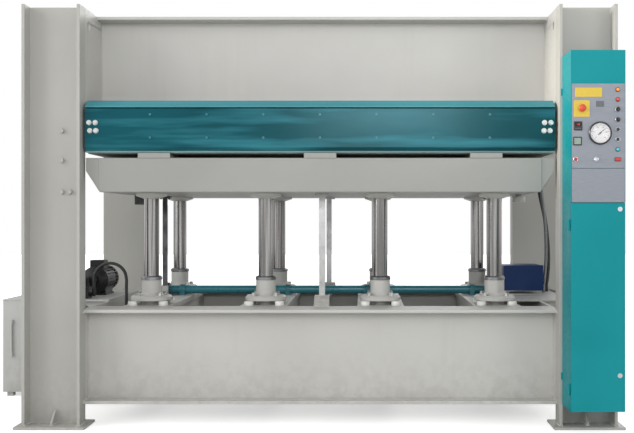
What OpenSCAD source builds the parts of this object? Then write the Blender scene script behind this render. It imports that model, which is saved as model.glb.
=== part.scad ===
// Up-stroke hydraulic platen press: a portal frame of rolled sections, eight plungers that
// lift a table and the lower hot platen against a fixed upper platen, a rack-and-pinion
// synchroniser, an oil unit and an electrical cabinet.
// The origin is on the floor, at the centre of the anchor holes. X runs along the press.

/* [Frame] */
// Width over the outer faces of the columns
frame_w = 3370; // [3340:10:3600]
// Depth over the column flanges, front to rear
frame_d = 1620; // [1400:10:1900]
// Height of the columns and of the crosshead
frame_h = 2400; // [2350:10:2700]
// Height of the base beams above the floor
floor_gap = 125; // [60:5:180]

/* [Columns] */
// Width of a column channel, over its flanges
column_w = 330; // [300:5:345]
// Depth of a column channel
column_d = 100; // [80:5:120]
// Thickness of a column's flanges
column_flange = 18; // [12:1:22]
// Thickness of a column's web
column_web = 14; // [8:1:20]
// Width of a foot plate
foot_w = 400; // [390:5:480]
// Depth of a foot plate
foot_d = 200; // [170:5:240]
// Thickness of a foot plate
foot_t = 15; // [10:1:25]
// How far a foot plate stands out in front of its column
foot_lip = 35; // [10:1:50]
// Diameter of the anchor holes
anchor_d = 22; // [14:1:26]
// Distance between the two anchor holes of a foot
anchor_pitch = 160; // [110:5:200]

/* [Beams] */
// Height of the base and crosshead beams
beam_h = 540; // [500:10:570]
// Flange width of the beams
beam_w = 210; // [170:5:250]
// Flange thickness of the beams
beam_flange = 18; // [12:1:24]
// Web thickness of the beams
beam_web = 12; // [8:1:16]
// How far the webs of the crosshead beams stand behind the column flanges
crosshead_set = 415; // [390:5:460]

/* [Cylinders] */
// Distance from the side plates to the outer cylinders
cylinder_edge = 305; // [305:10:455]
// Distance from the flanges of the base beams to the rows of cylinders
row_edge = 140; // [140:5:180]
// Diameter of the plungers
rod_d = 90; // [70:1:100]
// Outer diameter of a barrel
barrel_d = 120; // [112:1:140]
// Inner diameter of a barrel
barrel_bore = 96; // [92:1:106]
// Diameter of a cylinder's mounting flange
flange_d = 250; // [236:2:280]
// Thickness of the mounting flange
flange_t = 30; // [20:1:40]
// Height of the posts that a mounting flange stands on
post_h = 25; // [16:1:36]
// Height of the barrel above its mounting flange
collar_h = 94; // [60:1:120]
// Height of a gland ring
gland_h = 22; // [14:1:30]
// Depth of the barrel below the mounting surface
barrel_depth = 455; // [450:5:500]
// Lift of the press
stroke = 400; // [300:10:400]

/* [Table and platens] */
// Height of the moving table
table_h = 196; // [160:2:230]
// Thickness of a hot platen
platen_t = 42; // [32:1:60]
// Height of the bolster under the lower platen
bolster_h = 215; // [180:5:250]
// Height of the insulating bars between table and bolster
spacer_h = 26; // [18:1:36]
// How far the table's front stays behind the column flanges
table_set = 60; // [55:5:110]
// Play between the platens and the columns, each side
side_play = 15; // [12:1:25]
// Gap between the closed platens
closing_gap = 1; // [0.5:0.5:3]

/* [Synchroniser] */
// Module of the racks and pinions
gear_module = 4; // [3:0.5:4.5]
// Teeth of a pinion
pinion_teeth = 22; // [20:1:26]
// Width of a rack
rack_w = 30; // [20:1:40]
// Diameter of the torsion shaft
shaft_d = 55; // [46:1:56]
// Width of a guide bar
guide_w = 36; // [24:1:44]
// Thickness of a guide bar
guide_t = 20; // [14:1:26]

/* [Oil unit] */
// Width of the oil tank
tank_w = 460; // [380:10:560]
// Depth of the oil tank
tank_d = 400; // [320:10:460]
// Height of the oil tank
tank_h = 616; // [450:1:640]
// Diameter of the pump motor
motor_d = 180; // [140:5:220]
// Diameter of the pressure hose
hose_d = 20; // [16:1:24]

/* [Cabinet] */
// Width of the cabinet
cabinet_w = 295; // [285:1:300]
// Depth of the cabinet
cabinet_d = 200; // [160:5:240]
// Height of the cabinet's top above the floor
cabinet_top = 2100; // [2060:5:2150]
// Height of the cabinet's bottom above the floor
cabinet_bottom = 138; // [60:1:200]
// Height of the door's top edge
door_top = 1272; // [1200:1:1272]
// Thickness of the door
door_t = 18; // [14:1:24]
// Sheet thickness of the cabinet
sheet_t = 3; // [2:0.5:4]
// Diameter of the pressure gauge
gauge_d = 124; // [90:1:130]

/* [Hidden] */
$fn = 48;

// Paint and bare-metal colours, one for each finish
grey = "#B4B5B2";
teal = "#309195";
dark_teal = "#1F5F6B";
steel = "#C9CBCD";
dark_steel = "#5A5B5D";
bronze = "#9B7A45";
black = "#202224";
navy = "#1B2F55";
panel_grey = "#9A9AA3";
white = "#E6E6E2";

// Fine play between parts that slide, and between parts that only pass each other
running_play = 0.05;
passing_play = 0.4;
sheet_play = 1.5;

// Portal frame
half_w = frame_w / 2;
front_y = -frame_d / 2;
column_in = half_w - column_w;
column_mid = half_w - column_w / 2;
web_back = -front_y - column_d;
base_z0 = floor_gap;
base_z1 = floor_gap + beam_h;
head_z0 = frame_h - beam_h;
window_z1 = head_z0 - 255;
beam_y = web_back + column_d - 60 - beam_w / 2;
beam_inner = beam_y - beam_w / 2;
crosshead_y = -front_y - crosshead_set;
anchor_y = -front_y - 42;
gusset_t = 12;
gusset_h = 75;

// Stack of the closed press, from the crosshead down
upper_platen_z0 = head_z0 - platen_t;
lower_platen_z1 = upper_platen_z0 - closing_gap;
lower_platen_z0 = lower_platen_z1 - platen_t;
bolster_z0 = lower_platen_z0 - bolster_h;
table_z1 = bolster_z0 - spacer_h;
table_z0 = table_z1 - table_h;
table_half = column_in - side_play;
table_y = -front_y - table_set;
platen_y = table_y - 40;
table_skin = 20;
wing_cut = 80;
wing_rise = 122;
cover_reach = 3;

// Cylinders
cylinder_pitch = (column_in - cylinder_edge) / 1.5;
cyl_x = [-1.5, -0.5, 0.5, 1.5] * cylinder_pitch;
row_y = beam_inner - row_edge;
crossbar_half = 140;
crossbar_top = 30;
crossbar_web = 16;
barrel_floor = 20;
flange_z0 = base_z1 + post_h;
flange_z1 = flange_z0 + flange_t;
collar_z1 = flange_z1 + collar_h;
gland_z1 = collar_z1 + gland_h;
rod_z0 = base_z1 - 20;
rod_flange_d = rod_d * 2.08;
rod_rim_t = 16;
rod_cone_t = 14;
post_r = flange_d / 2 + 5;
post_d = 56;

// Rack and pinion
pitch_r = gear_module * pinion_teeth / 2;
base_r = pitch_r * cos(20);
tip_r = pitch_r + gear_module;
root_r = pitch_r - 1.25 * gear_module;
tooth_pitch = PI * gear_module;
backlash = 0.15;
shaft_z = base_z1 + shaft_d / 2 + 8;
shaft_y = row_y - flange_d / 2 - tip_r - 4;
shaft_bore = shaft_d - 16;
pinion_w = rack_w + 6;
rack_x = 1.5 * cylinder_pitch + 50;
shaft_half = rack_x + pinion_w / 2 + 14;
rack_y = shaft_y - pitch_r;
rack_root = rack_y - 1.25 * gear_module;
rack_back = rack_root - 18;
rack_low = -4;
rack_high = floor((table_z0 - 60 - shaft_z) / tooth_pitch);
rack_end = 14;
slot_play = 6;
bearing_x = [-1.5 * cylinder_pitch + 60, -0.5 * cylinder_pitch + 80,
             0.5 * cylinder_pitch - 80, 1.5 * cylinder_pitch - 60];
bearing_t = 34;
guide_y = beam_inner - 25;
guide_z0 = base_z1 - 60;
housing_h = 62;

// Cabinet
cab_x0 = column_in + 16;
cab_x1 = cab_x0 + cabinet_w;
cab_back = front_y;
cab_front = front_y - cabinet_d;
door_back = cab_front + door_t;
panel_z0 = door_top + 3;
panel_h = 642;
plate_t = 4;
face_y = cab_front - plate_t;
lip = 18;
hinge_x = cab_x0 - 7;
hinge_y = door_back - 2;
lock_x = cab_x1 - 30;
lock_low_z = cabinet_bottom + 199;
lock_high_z = door_top - 34;
lock_r = 7;
knuckle_r = 6;
hinge_z = [cabinet_bottom + 120, door_top - 120];

// Places of the controls on the panel: distance from the left edge, distance below its top
panel_z1 = panel_z0 + panel_h;
stop_at = [cab_x0 + 58, panel_z1 - 133];
gauge_at = [cab_x0 + 156, panel_z1 - 268];
lamp_x = cab_x0 + 252;
lamp_z = [panel_z1 - 33, panel_z1 - 86, panel_z1 - 356];
pump_at = [lamp_x, panel_z1 - 139];
heat_at = [lamp_x, panel_z1 - 195];
up_at = [lamp_x, panel_z1 - 248];
down_at = [lamp_x, panel_z1 - 302];
red_at = [cab_x0 + 24, panel_z1 - 410];
key_at = [cab_x0 + 135, panel_z1 - 410];
bar_at = [cab_x0 + 252, panel_z1 - 410];
button_r = 9;
button_travel = 5;

// Oil unit and the things beside the columns
tank_x1 = -half_w - 12;
tank_x0 = tank_x1 - tank_w;
tank_y0 = 60;
tank_z0 = 30;
tank_z1 = tank_z0 + tank_h;
shelf_t = 10;
shelf_z0 = base_z1;
shelf_z1 = base_z1 + shelf_t;
shelf_y0 = -260;
shelf_y1 = tank_y0 + tank_d;
pipe_x0 = -column_in + 80;
pipe_y0 = -150;
motor_at = [-column_in - 185, 150, shelf_z1 + motor_d / 2 + 12];
motor_l = 260;
valve_at = [-column_in - 190, -150];
valve_h = 74;
port_z = base_z1 - 70;
pipe_r = 11;
right_x = column_in;
box_x0 = right_x - 165;
box_w = 260;
box_z0 = shelf_z1 + 28;
box_h = 167;
box_y0 = 90;
box_d = 270;
tray_y1 = box_y0 + box_d + 100;
manifold_z0 = table_z1 - 60;

// Points of the pressure hose, from the elbow on the valve block over the side plate into the base
arch_z = shelf_z1 + 121;
hose_x = pipe_x0 - 208;
hose_path = [
    [hose_x, pipe_y0, arch_z - 60], [hose_x, pipe_y0, arch_z - 30], [hose_x, pipe_y0, arch_z],
    [hose_x + 8, pipe_y0, arch_z + 40], [hose_x + 30, pipe_y0, arch_z + 74],
    [hose_x + 64, pipe_y0, arch_z + 96], [hose_x + 104, pipe_y0, arch_z + 104],
    [pipe_x0 - 64, pipe_y0, arch_z + 96], [pipe_x0 - 30, pipe_y0, arch_z + 74],
    [pipe_x0 - 8, pipe_y0, arch_z + 40], [pipe_x0, pipe_y0, arch_z], [pipe_x0, pipe_y0, arch_z - 30],
    [pipe_x0, pipe_y0, arch_z - 60], [pipe_x0, pipe_y0, arch_z - 90],
    [pipe_x0, pipe_y0, port_z + pipe_r + 35], [pipe_x0, pipe_y0, port_z + pipe_r + 5]];
// Points of the two hoses that follow the table, from the manifold down to the right tray
elbow_x = right_x + 114;
outlet_z = manifold_z0 - 4;
function fall(share) = shelf_z1 + share * (manifold_z0 - shelf_z1);
oil_hose_path = [
    [elbow_x, 250, outlet_z], [elbow_x, 250, outlet_z - 20], [elbow_x, 250, outlet_z - 40],
    [right_x + 122, 252, fall(0.85)], [right_x + 140, 257, fall(0.675)],
    [right_x + 152, 263, fall(0.475)], [right_x + 154, 270, fall(0.287)],
    [right_x + 147, 278, fall(0.137)], [right_x + 142, 285, shelf_z1 + 50],
    [right_x + 142, 285, shelf_z1 + 25], [right_x + 142, 285, shelf_z1]];
platen_hose_path = [
    [elbow_x, 330, outlet_z], [elbow_x, 330, outlet_z - 20], [elbow_x, 330, outlet_z - 40],
    [right_x + 128, 332, fall(0.837)], [right_x + 158, 337, fall(0.662)],
    [right_x + 180, 344, fall(0.462)], [right_x + 188, 351, fall(0.274)],
    [right_x + 182, 359, fall(0.124)], [right_x + 176, 364, shelf_z1 + 50],
    [right_x + 176, 364, shelf_z1 + 25], [right_x + 176, 364, shelf_z1]];

// Block between two corners
module span(x0, x1, y0, y1, z0, z1) {
    translate([x0, y0, z0]) cube([x1 - x0, y1 - y0, z1 - z0]);
}

// A flat outline in Y and Z drawn out along X
module along_x(x0, length) {
    translate([x0, 0, 0]) rotate([90, 0, 90]) linear_extrude(length) children();
}

// A flat outline in X and Z drawn out along Y
module along_y(y0, length) {
    translate([0, y0 + length, 0]) rotate([90, 0, 0]) linear_extrude(length) children();
}

// Both halves of something that is the same left and right
module left_right() {
    children();
    mirror([1, 0, 0]) children();
}

// Both halves of something that is the same front and rear
module front_rear() {
    children();
    mirror([0, 1, 0]) children();
}

// Round bar along Y, given by its front end
module bar_y(at, y0, length, r) {
    translate([at[0], y0 + length, at[1]]) rotate([90, 0, 0]) cylinder(h = length, r = r);
}

// Round bar along X
module bar_x(x0, length, y, z, r) {
    translate([x0, y, z]) rotate([0, 90, 0]) cylinder(h = length, r = r);
}

// Hexagon head seen along Z
module hex_head(size, height) {
    cylinder(h = height, r = size / 2 / cos(30), $fn = 6);
}

// Rolled I section in Y and Z about its own centre
module beam_outline(h, w) {
    a = w / 2;
    b = beam_web / 2;
    c = h / 2;
    d = h / 2 - beam_flange;
    polygon([[-a, -c], [a, -c], [a, -d], [b, -d], [b, d], [a, d], [a, c],
             [-a, c], [-a, d], [-b, d], [-b, -d], [-a, -d]]);
}

// Left front column: a channel open to the front, on a foot plate with two anchor holes
module column_shape() {
    x0 = -half_w;
    x1 = -column_in;
    y0 = front_y;
    y1 = front_y + column_d;
    f = column_flange;
    w = column_web;
    translate([0, 0, foot_t]) linear_extrude(frame_h - foot_t)
        polygon([[x0, y0], [x0 + f, y0], [x0 + f, y1 - w], [x1 - f, y1 - w],
                 [x1 - f, y0], [x1, y0], [x1, y1], [x0, y1]]);
    difference() {
        span(-column_mid - foot_w / 2, -column_mid + foot_w / 2,
             y0 - foot_lip, y0 - foot_lip + foot_d, 0, foot_t);
        for (s = [-1, 1])
            translate([-column_mid + s * anchor_pitch / 2, -anchor_y, -1])
                cylinder(h = foot_t + 2, d = anchor_d);
    }
    along_x(-column_mid - gusset_t / 2, gusset_t)
        polygon([[y1 - w, foot_t], [y0 + 12, foot_t], [y0 + 12, foot_t + 16],
                 [y1 - w - 14, foot_t + gusset_h], [y1 - w, foot_t + gusset_h]]);
}

module left_front_column() color(grey) column_shape();
module left_rear_column() color(grey) mirror([0, 1, 0]) column_shape();
module right_front_column() color(grey) mirror([1, 0, 0]) column_shape();
module right_rear_column() color(grey) mirror([1, 0, 0]) mirror([0, 1, 0]) column_shape();

// Upper and lower plates that tie the inner flanges of a pair of columns
module side_shape() {
    r = 40;
    along_x(-column_in - column_flange, column_flange) {
        difference() {
            translate([-web_back, window_z1]) square([2 * web_back, frame_h - window_z1]);
            for (s = [-1, 1])
                translate([s * (web_back - 60), frame_h - 90]) circle(r = 25);
        }
        translate([-web_back, base_z0]) square([2 * web_back, beam_h]);
    }
    front_rear() along_x(-column_in - column_flange, column_flange)
        polygon([[web_back, window_z1], [web_back - r, window_z1], [web_back, window_z1 - r]]);
}

module side_plates() color(grey) left_right() side_shape();

module crosshead_beam_shape() {
    along_x(-column_in, 2 * column_in)
        translate([-crosshead_y, head_z0 + beam_h / 2]) beam_outline(beam_h, beam_w);
}

module crosshead_front_beam() color(grey) crosshead_beam_shape();
module crosshead_rear_beam() color(grey) mirror([0, 1, 0]) crosshead_beam_shape();

// Welded ribs between the two crosshead beams, over each line of cylinders
module crosshead_ribs() color(grey) {
    inner = crosshead_y - beam_web / 2;
    edge = crosshead_y - beam_w / 2;
    f = beam_flange;
    for (x = cyl_x)
        along_x(x - 10, 20) difference() {
            polygon([[-inner, head_z0 + f], [-edge, head_z0 + f], [-edge, head_z0], [edge, head_z0],
                     [edge, head_z0 + f], [inner, head_z0 + f], [inner, frame_h - f],
                     [-inner, frame_h - f]]);
            translate([0, head_z0 + beam_h / 2]) circle(d = beam_h * 0.45);
        }
}

module base_beam_shape() {
    along_x(-column_in, 2 * column_in)
        translate([-beam_y, base_z0 + beam_h / 2]) beam_outline(beam_h, beam_w);
}

module base_front_beam() color(grey) base_beam_shape();
module base_rear_beam() color(grey) mirror([0, 1, 0]) base_beam_shape();

// Slot in a cross member that a pinion and its rack reach down through
module rack_slot(x) {
    span(x - rack_w / 2 - slot_play, x + rack_w / 2 + slot_play, rack_back - slot_play,
         shaft_y + tip_r + 3, base_z1 - crossbar_top - 1, base_z1 + 1);
}

// Four cross members between the base beams, each carrying a front and a rear cylinder
module cylinder_bolsters() color(grey) difference() {
    for (x = cyl_x) {
        span(x - crossbar_half, x + crossbar_half, -beam_inner, beam_inner,
             base_z1 - crossbar_top, base_z1);
        for (s = [-1, 1])
            along_x(x + s * (crossbar_half - 24) - crossbar_web / 2, crossbar_web)
                polygon([[-beam_y + beam_web / 2, base_z0 + beam_flange],
                         [beam_y - beam_web / 2, base_z0 + beam_flange],
                         [beam_y - beam_web / 2, base_z1 - beam_flange],
                         [beam_inner, base_z1 - beam_flange], [beam_inner, base_z1 - crossbar_top],
                         [-beam_inner, base_z1 - crossbar_top], [-beam_inner, base_z1 - beam_flange],
                         [-beam_y + beam_web / 2, base_z1 - beam_flange]]);
    }
    for (x = cyl_x, y = [-row_y, row_y])
        translate([x, y, base_z1 - crossbar_top - 1])
            cylinder(h = crossbar_top + 2, d = barrel_d + 0.6);
    for (s = [-1, 1])
        rack_slot(s * rack_x);
    bar_x(-2 * cylinder_pitch, 4 * cylinder_pitch, 0, port_z, pipe_r + 4);
}

// Barrel with its mounting flange, drawn as one turned profile
module cylinder_shape() {
    r = barrel_d / 2;
    b = barrel_bore / 2;
    z0 = base_z1 - barrel_depth;
    rotate_extrude()
        polygon([[0, z0], [r, z0], [r, flange_z0], [flange_d / 2 - 3, flange_z0],
                 [flange_d / 2, flange_z0 + 3], [flange_d / 2, flange_z1 - 12],
                 [flange_d / 2 - 12, flange_z1], [r + 14, flange_z1], [r, flange_z1 + 16],
                 [r, collar_z1 - 3], [r - 3, collar_z1], [b, collar_z1],
                 [b, z0 + barrel_floor], [0, z0 + barrel_floor]]);
}

module front_cylinders() color(grey)
    for (x = cyl_x) translate([x, -row_y, 0]) cylinder_shape();
module rear_cylinders() color(grey)
    for (x = cyl_x) translate([x, row_y, 0]) cylinder_shape();

// Gland ring that seals each plunger at the top of its barrel
module gland_rings() color(dark_steel)
    for (x = cyl_x, y = [-row_y, row_y])
        translate([x, y, 0]) rotate_extrude()
            polygon([[rod_d / 2 + running_play, collar_z1], [barrel_d / 2 + 3, collar_z1],
                     [barrel_d / 2 + 3, gland_z1 - 6], [barrel_d / 2 - 3, gland_z1],
                     [rod_d / 2 + running_play + 3, gland_z1],
                     [rod_d / 2 + running_play, gland_z1 - 3]]);

// Post that a mounting flange stands on, and the bolt that holds the flange's rim down on it
module post_shape() {
    translate([post_r, 0, base_z1]) rotate_extrude()
        polygon([[0, 0], [post_d / 2, 0], [post_d / 2, post_h - 4], [post_d / 2 - 4, post_h],
                 [0, post_h]]);
    translate([flange_d / 2 - 32, 0, flange_z1]) {
        cylinder(h = 3, d = 32);
        translate([0, 0, 3]) hex_head(24, 14);
    }
}

// Posts and bolts around the cylinders, and bolts in the column webs
module frame_bolts() color(white) {
    for (x = cyl_x, y = [-row_y, row_y], a = [45, 135, 225, 315])
        translate([x, y, 0]) rotate([0, 0, a]) post_shape();
    left_right()
        for (p = [[-column_mid + 36, 1690], [-column_mid + 36, 1520], [-column_mid + 36, 1340],
                  [-column_mid + 82, 1340]])
            translate([p[0], front_y + column_d - column_web, p[1]]) rotate([90, 0, 0]) {
                cylinder(h = 3, d = 34);
                translate([0, 0, 3]) hex_head(24, 15);
            }
}

// Upper hot platen, bolted under the crosshead
module upper_platen() color(dark_steel)
    span(-table_half, table_half, -platen_y, platen_y, upper_platen_z0, head_z0);

// Folded sheet cover in front of and behind the upper platen, with a sloping face
module upper_skirt_shape() {
    s = sheet_t;
    z = upper_platen_z0;
    out = table_y + 20;
    along_x(-table_half, 2 * table_half)
        polygon([[platen_y, z + 3], [out, z + 3], [out, z + 8], [platen_y + s, head_z0 + 6],
                 [platen_y, head_z0 + 6]]);
}

module upper_skirts() color(teal) front_rear() upper_skirt_shape();

// Bronze shoes on the side plates that the table slides along
module guide_blocks() color(bronze)
    left_right() front_rear()
        difference() {
            along_x(-column_in, side_play - passing_play)
                polygon([[-platen_y + 20, window_z1], [-platen_y + 140, window_z1],
                         [-platen_y + 140, bolster_z0 + 190], [-platen_y + 20, bolster_z0 + 190]]);
            for (z = [window_z1 + 30, bolster_z0 + 160])
                translate([-column_in + side_play - passing_play - 4, -platen_y + 80, z])
                    rotate([0, 90, 0]) cylinder(h = 20, d = 18);
        }

// Pillow blocks of the torsion shaft, backing pads of the racks and guide housings
module shaft_bearings() color(dark_teal) {
    for (x = bearing_x)
        along_x(x - bearing_t / 2, bearing_t) difference() {
            union() {
                translate([shaft_y, shaft_z]) circle(r = shaft_z - base_z1);
                translate([shaft_y - shaft_z + base_z1, base_z1])
                    square([2 * (shaft_z - base_z1), shaft_z - base_z1]);
                translate([shaft_y - 46, base_z1]) square([92, 12]);
            }
            translate([shaft_y, shaft_z]) circle(r = shaft_d / 2 + running_play);
        }
    for (x = bearing_x, s = [-1, 1])
        translate([x, shaft_y + s * 42, base_z1 + 12]) hex_head(7, 5);
    for (s = [-1, 1])
        along_x(s * rack_x - rack_w / 2 - 12, rack_w + 24)
            polygon([[rack_back - 50, base_z1], [rack_back - passing_play, base_z1],
                     [rack_back - passing_play, base_z1 + 66], [rack_back - 22, base_z1 + 66],
                     [rack_back - 50, base_z1 + 24]]);
    front_rear() difference() {
        along_x(-guide_w / 2 - 26, guide_w + 52)
            polygon([[-beam_y + 40, base_z1], [-guide_y + 30, base_z1],
                     [-guide_y + 30, base_z1 + housing_h], [-guide_y - 30, base_z1 + housing_h],
                     [-beam_y + 40, base_z1 + 24]]);
        span(-guide_w / 2 - passing_play, guide_w / 2 + passing_play,
             -guide_y - guide_t / 2 - passing_play, -guide_y + guide_t / 2 + passing_play,
             base_z1 - 1, base_z1 + housing_h + 1);
    }
}

// Oil tank on feet, with an overhanging lid, a filler cap and a level tube
module oil_tank() color(grey) {
    w = 2 * sheet_t;
    difference() {
        union() {
            span(tank_x0, tank_x1, tank_y0, tank_y0 + tank_d, tank_z0, tank_z1 - w);
            span(tank_x0 - w, tank_x1, tank_y0 - w, tank_y0 + tank_d + w, tank_z1 - w, tank_z1);
        }
        span(tank_x0 + w, tank_x1 - w, tank_y0 + w, tank_y0 + tank_d - w, tank_z0 + w, tank_z1 - w);
    }
    for (x = [tank_x0 + 20, tank_x1 - 60], y = [tank_y0 + 20, tank_y0 + tank_d - 60])
        span(x, x + 40, y, y + 40, 0, tank_z0);
    translate([tank_x0 + 150, tank_y0 + 70, tank_z1]) {
        cylinder(h = 14, r = 24);
        translate([0, 0, 14]) cylinder(h = 30, r = 19);
        translate([0, 0, 44]) cylinder(h = 16, r = 27);
    }
    translate([tank_x0 + 60, tank_y0 - 10, tank_z0 + 240]) cylinder(h = 240, r = 7);
    for (z = [tank_z0 + 250, tank_z0 + 470])
        span(tank_x0 + 50, tank_x0 + 70, tank_y0 - 19, tank_y0, z - 10, z + 10);
}

// Pump motor: ribbed housing, end bell, terminal box and the pump at its front end
module pump_motor() color(dark_steel) {
    r = motor_d / 2;
    y0 = motor_at[1] - motor_l / 2;
    translate([motor_at[0], y0 + motor_l, motor_at[2]]) rotate([90, 0, 0]) {
        linear_extrude(motor_l - 40) union() {
            circle(r = r - 12);
            for (a = [0:15:345]) rotate(a) translate([0, -2]) square([r, 4]);
        }
        translate([0, 0, motor_l - 40])
            rotate_extrude() polygon([[0, 0], [r, 0], [r, 12], [r - 30, 34], [34, 40],
                                      [34, 150], [26, 158], [0, 158]]);
        translate([0, 0, -34])
            rotate_extrude() polygon([[0, 0], [r - 14, 0], [r - 4, 8], [r - 4, 34], [0, 34]]);
    }
    span(motor_at[0] - 70, motor_at[0] + 70, motor_at[1] - 90, motor_at[1] + 90,
         shelf_z1, shelf_z1 + 12);
    for (s = [-1, 1])
        span(motor_at[0] + s * 52 - 12, motor_at[0] + s * 52 + 12, motor_at[1] - 80,
             motor_at[1] + 80, shelf_z1 + 12, shelf_z1 + 50);
    span(motor_at[0] - 46, motor_at[0] + 46, motor_at[1] - 60, motor_at[1] + 30,
         motor_at[2] + r - 20, motor_at[2] + r + 40);
}

// Valve block with two coils, a relief screw and an outlet for the hose
module valve_block() color(black) {
    x = valve_at[0];
    y = valve_at[1];
    z = shelf_z1;
    span(x - 45, x + 38, y - 42, y + 42, z, z + valve_h);
    for (s = [-1, 1])
        translate([x - 12, y + s * 21, z + valve_h]) {
            cylinder(h = 58, r = 17);
            translate([0, 0, 58]) cylinder(h = 12, r = 8);
        }
    translate([x + 22, y, z + valve_h]) {
        cylinder(h = 20, r = 11);
        translate([0, 0, 20]) cylinder(h = 46, r = 5);
    }
    bar_x(x + 38, 7, y, z + 25, hose_d / 2 + 5);
    bar_x(x + 38, hose_x - x - 38, y, z + 25, hose_d / 2);
    translate([hose_x, y, z + 25]) {
        sphere(r = hose_d / 2 + 3);
        cylinder(h = arch_z - 60 - z - 25, r = hose_d / 2 + 3);
    }
}

// Left shelf for the pump, right tray for the wiring, and the rail under the wiring box
module equipment_shelves() color(grey) {
    span(tank_x1, -column_in, shelf_y0, shelf_y1, shelf_z0, shelf_z1);
    span(tank_x1, tank_x1 + 8, tank_y0, shelf_y1, tank_z1 - 120, shelf_z0);
    for (y = [shelf_y0 + 40, tray_y1 - 60])
        left_right() along_y(y, 8)
            polygon([[-column_in - column_flange, shelf_z0], [-column_in - 170, shelf_z0],
                     [-column_in - 170, shelf_z0 - 14], [-column_in - column_flange, shelf_z0 - 150]]);
    along_y(shelf_y0, tray_y1 - shelf_y0)
        polygon([[box_x0, shelf_z0], [right_x + 220, shelf_z0], [right_x + 220, shelf_z1 + 14],
                 [right_x + 216, shelf_z1 + 14], [right_x + 216, shelf_z1], [box_x0, shelf_z1]]);
    for (y = [box_y0 + 30, box_y0 + box_d - 70])
        along_y(y, 40)
            polygon([[box_x0, shelf_z1], [box_x0 + box_w, shelf_z1], [box_x0 + box_w, shelf_z1 + 4],
                     [box_x0 + 4, shelf_z1 + 4], [box_x0 + 4, box_z0 - 4],
                     [box_x0 + box_w, box_z0 - 4], [box_x0 + box_w, box_z0], [box_x0, box_z0]]);
}

// Wiring box with its lid, four lid screws and three cable glands
module junction_box() color(navy) {
    z1 = box_z0 + box_h;
    s = sheet_t;
    difference() {
        union() {
            span(box_x0, box_x0 + box_w, box_y0 + 14, box_y0 + box_d, box_z0, z1);
            span(box_x0 - s, box_x0 + box_w + s, box_y0, box_y0 + 14, box_z0, z1 + s);
        }
        span(box_x0 + s, box_x0 + box_w - s, box_y0 + s, box_y0 + box_d - s, box_z0 + s, z1 - s);
    }
    for (x = [box_x0 + 14, box_x0 + box_w - 14], z = [box_z0 + 14, z1 - 14])
        bar_y([x, z], box_y0 - 3, 3, 6);
    for (y = [box_y0 + 70, box_y0 + 130, box_y0 + 190])
        bar_x(box_x0 + box_w, 22, y, box_z0 + 50, 13);
}

// Smooth run through hand-placed points, and the rings of a round hose along it
function curve(a, b, c, d, t) =
    0.5 * (2 * b + (c - a) * t + (2 * a - 5 * b + 4 * c - d) * t * t
           + (3 * b - a - 3 * c + d) * t * t * t);
function smooth(p, n) = [
    for (i = [0:len(p) - 2], k = [0:n - 1])
        curve(p[max(i - 1, 0)], p[i], p[i + 1], p[min(i + 2, len(p) - 1)], k / n),
    p[len(p) - 1]];
function unit(v) = v / norm(v);

module hose(path, d, sides, steps) {
    p = smooth(path, steps);
    last = len(p) - 1;
    rings = [for (i = [0:last])
        let(t = unit(p[min(i + 1, last)] - p[max(i - 1, 0)]),
            b = unit(cross(t, [0, 1, 0])), n = cross(b, t))
        for (k = [0:sides - 1]) p[i] + d / 2 * (cos(k * 360 / sides) * n + sin(k * 360 / sides) * b)];
    walls = [for (i = [0:last - 1], k = [0:sides - 1])
        let(a = i * sides + k, b = i * sides + (k + 1) % sides)
        each [[a, b, a + sides], [b, b + sides, a + sides]]];
    polyhedron(points = rings,
               faces = concat([[for (k = [0:sides - 1]) sides - 1 - k]], walls,
                              [[for (k = [0:sides - 1]) last * sides + k]]));
}

module pressure_hose() color(black) hose(hose_path, hose_d, 12, 2);
module table_hose() color(dark_steel) hose(oil_hose_path, 22, 10, 2);
module platen_hose() color(black) hose(platen_hose_path, 28, 10, 2);

// Pipe run inside the base that feeds every barrel
module oil_pipes() color(steel) {
    x0 = pipe_x0;
    y0 = pipe_y0;
    x1 = 1.5 * cylinder_pitch;
    reach = row_y - barrel_d / 2;
    bar_x(x0, x1 - x0, 0, port_z, pipe_r);
    bar_y([x0, port_z], y0, -y0, pipe_r);
    translate([x0, y0, port_z]) sphere(r = pipe_r + 5);
    translate([x0, 0, port_z]) sphere(r = pipe_r + 3);
    for (x = cyl_x) {
        bar_y([x, port_z], -reach, 2 * reach, pipe_r - 2);
        translate([x, 0, port_z]) sphere(r = pipe_r + 4);
    }
}

// Outline of a side of the cabinet: deeper above, where the panel is
module cabinet_side(yb, yr)
    polygon([[yb, cabinet_bottom], [yr, cabinet_bottom], [yr, cabinet_top],
             [cab_front, cabinet_top], [cab_front, door_top + 2], [yb, door_top + 2]]);

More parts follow.
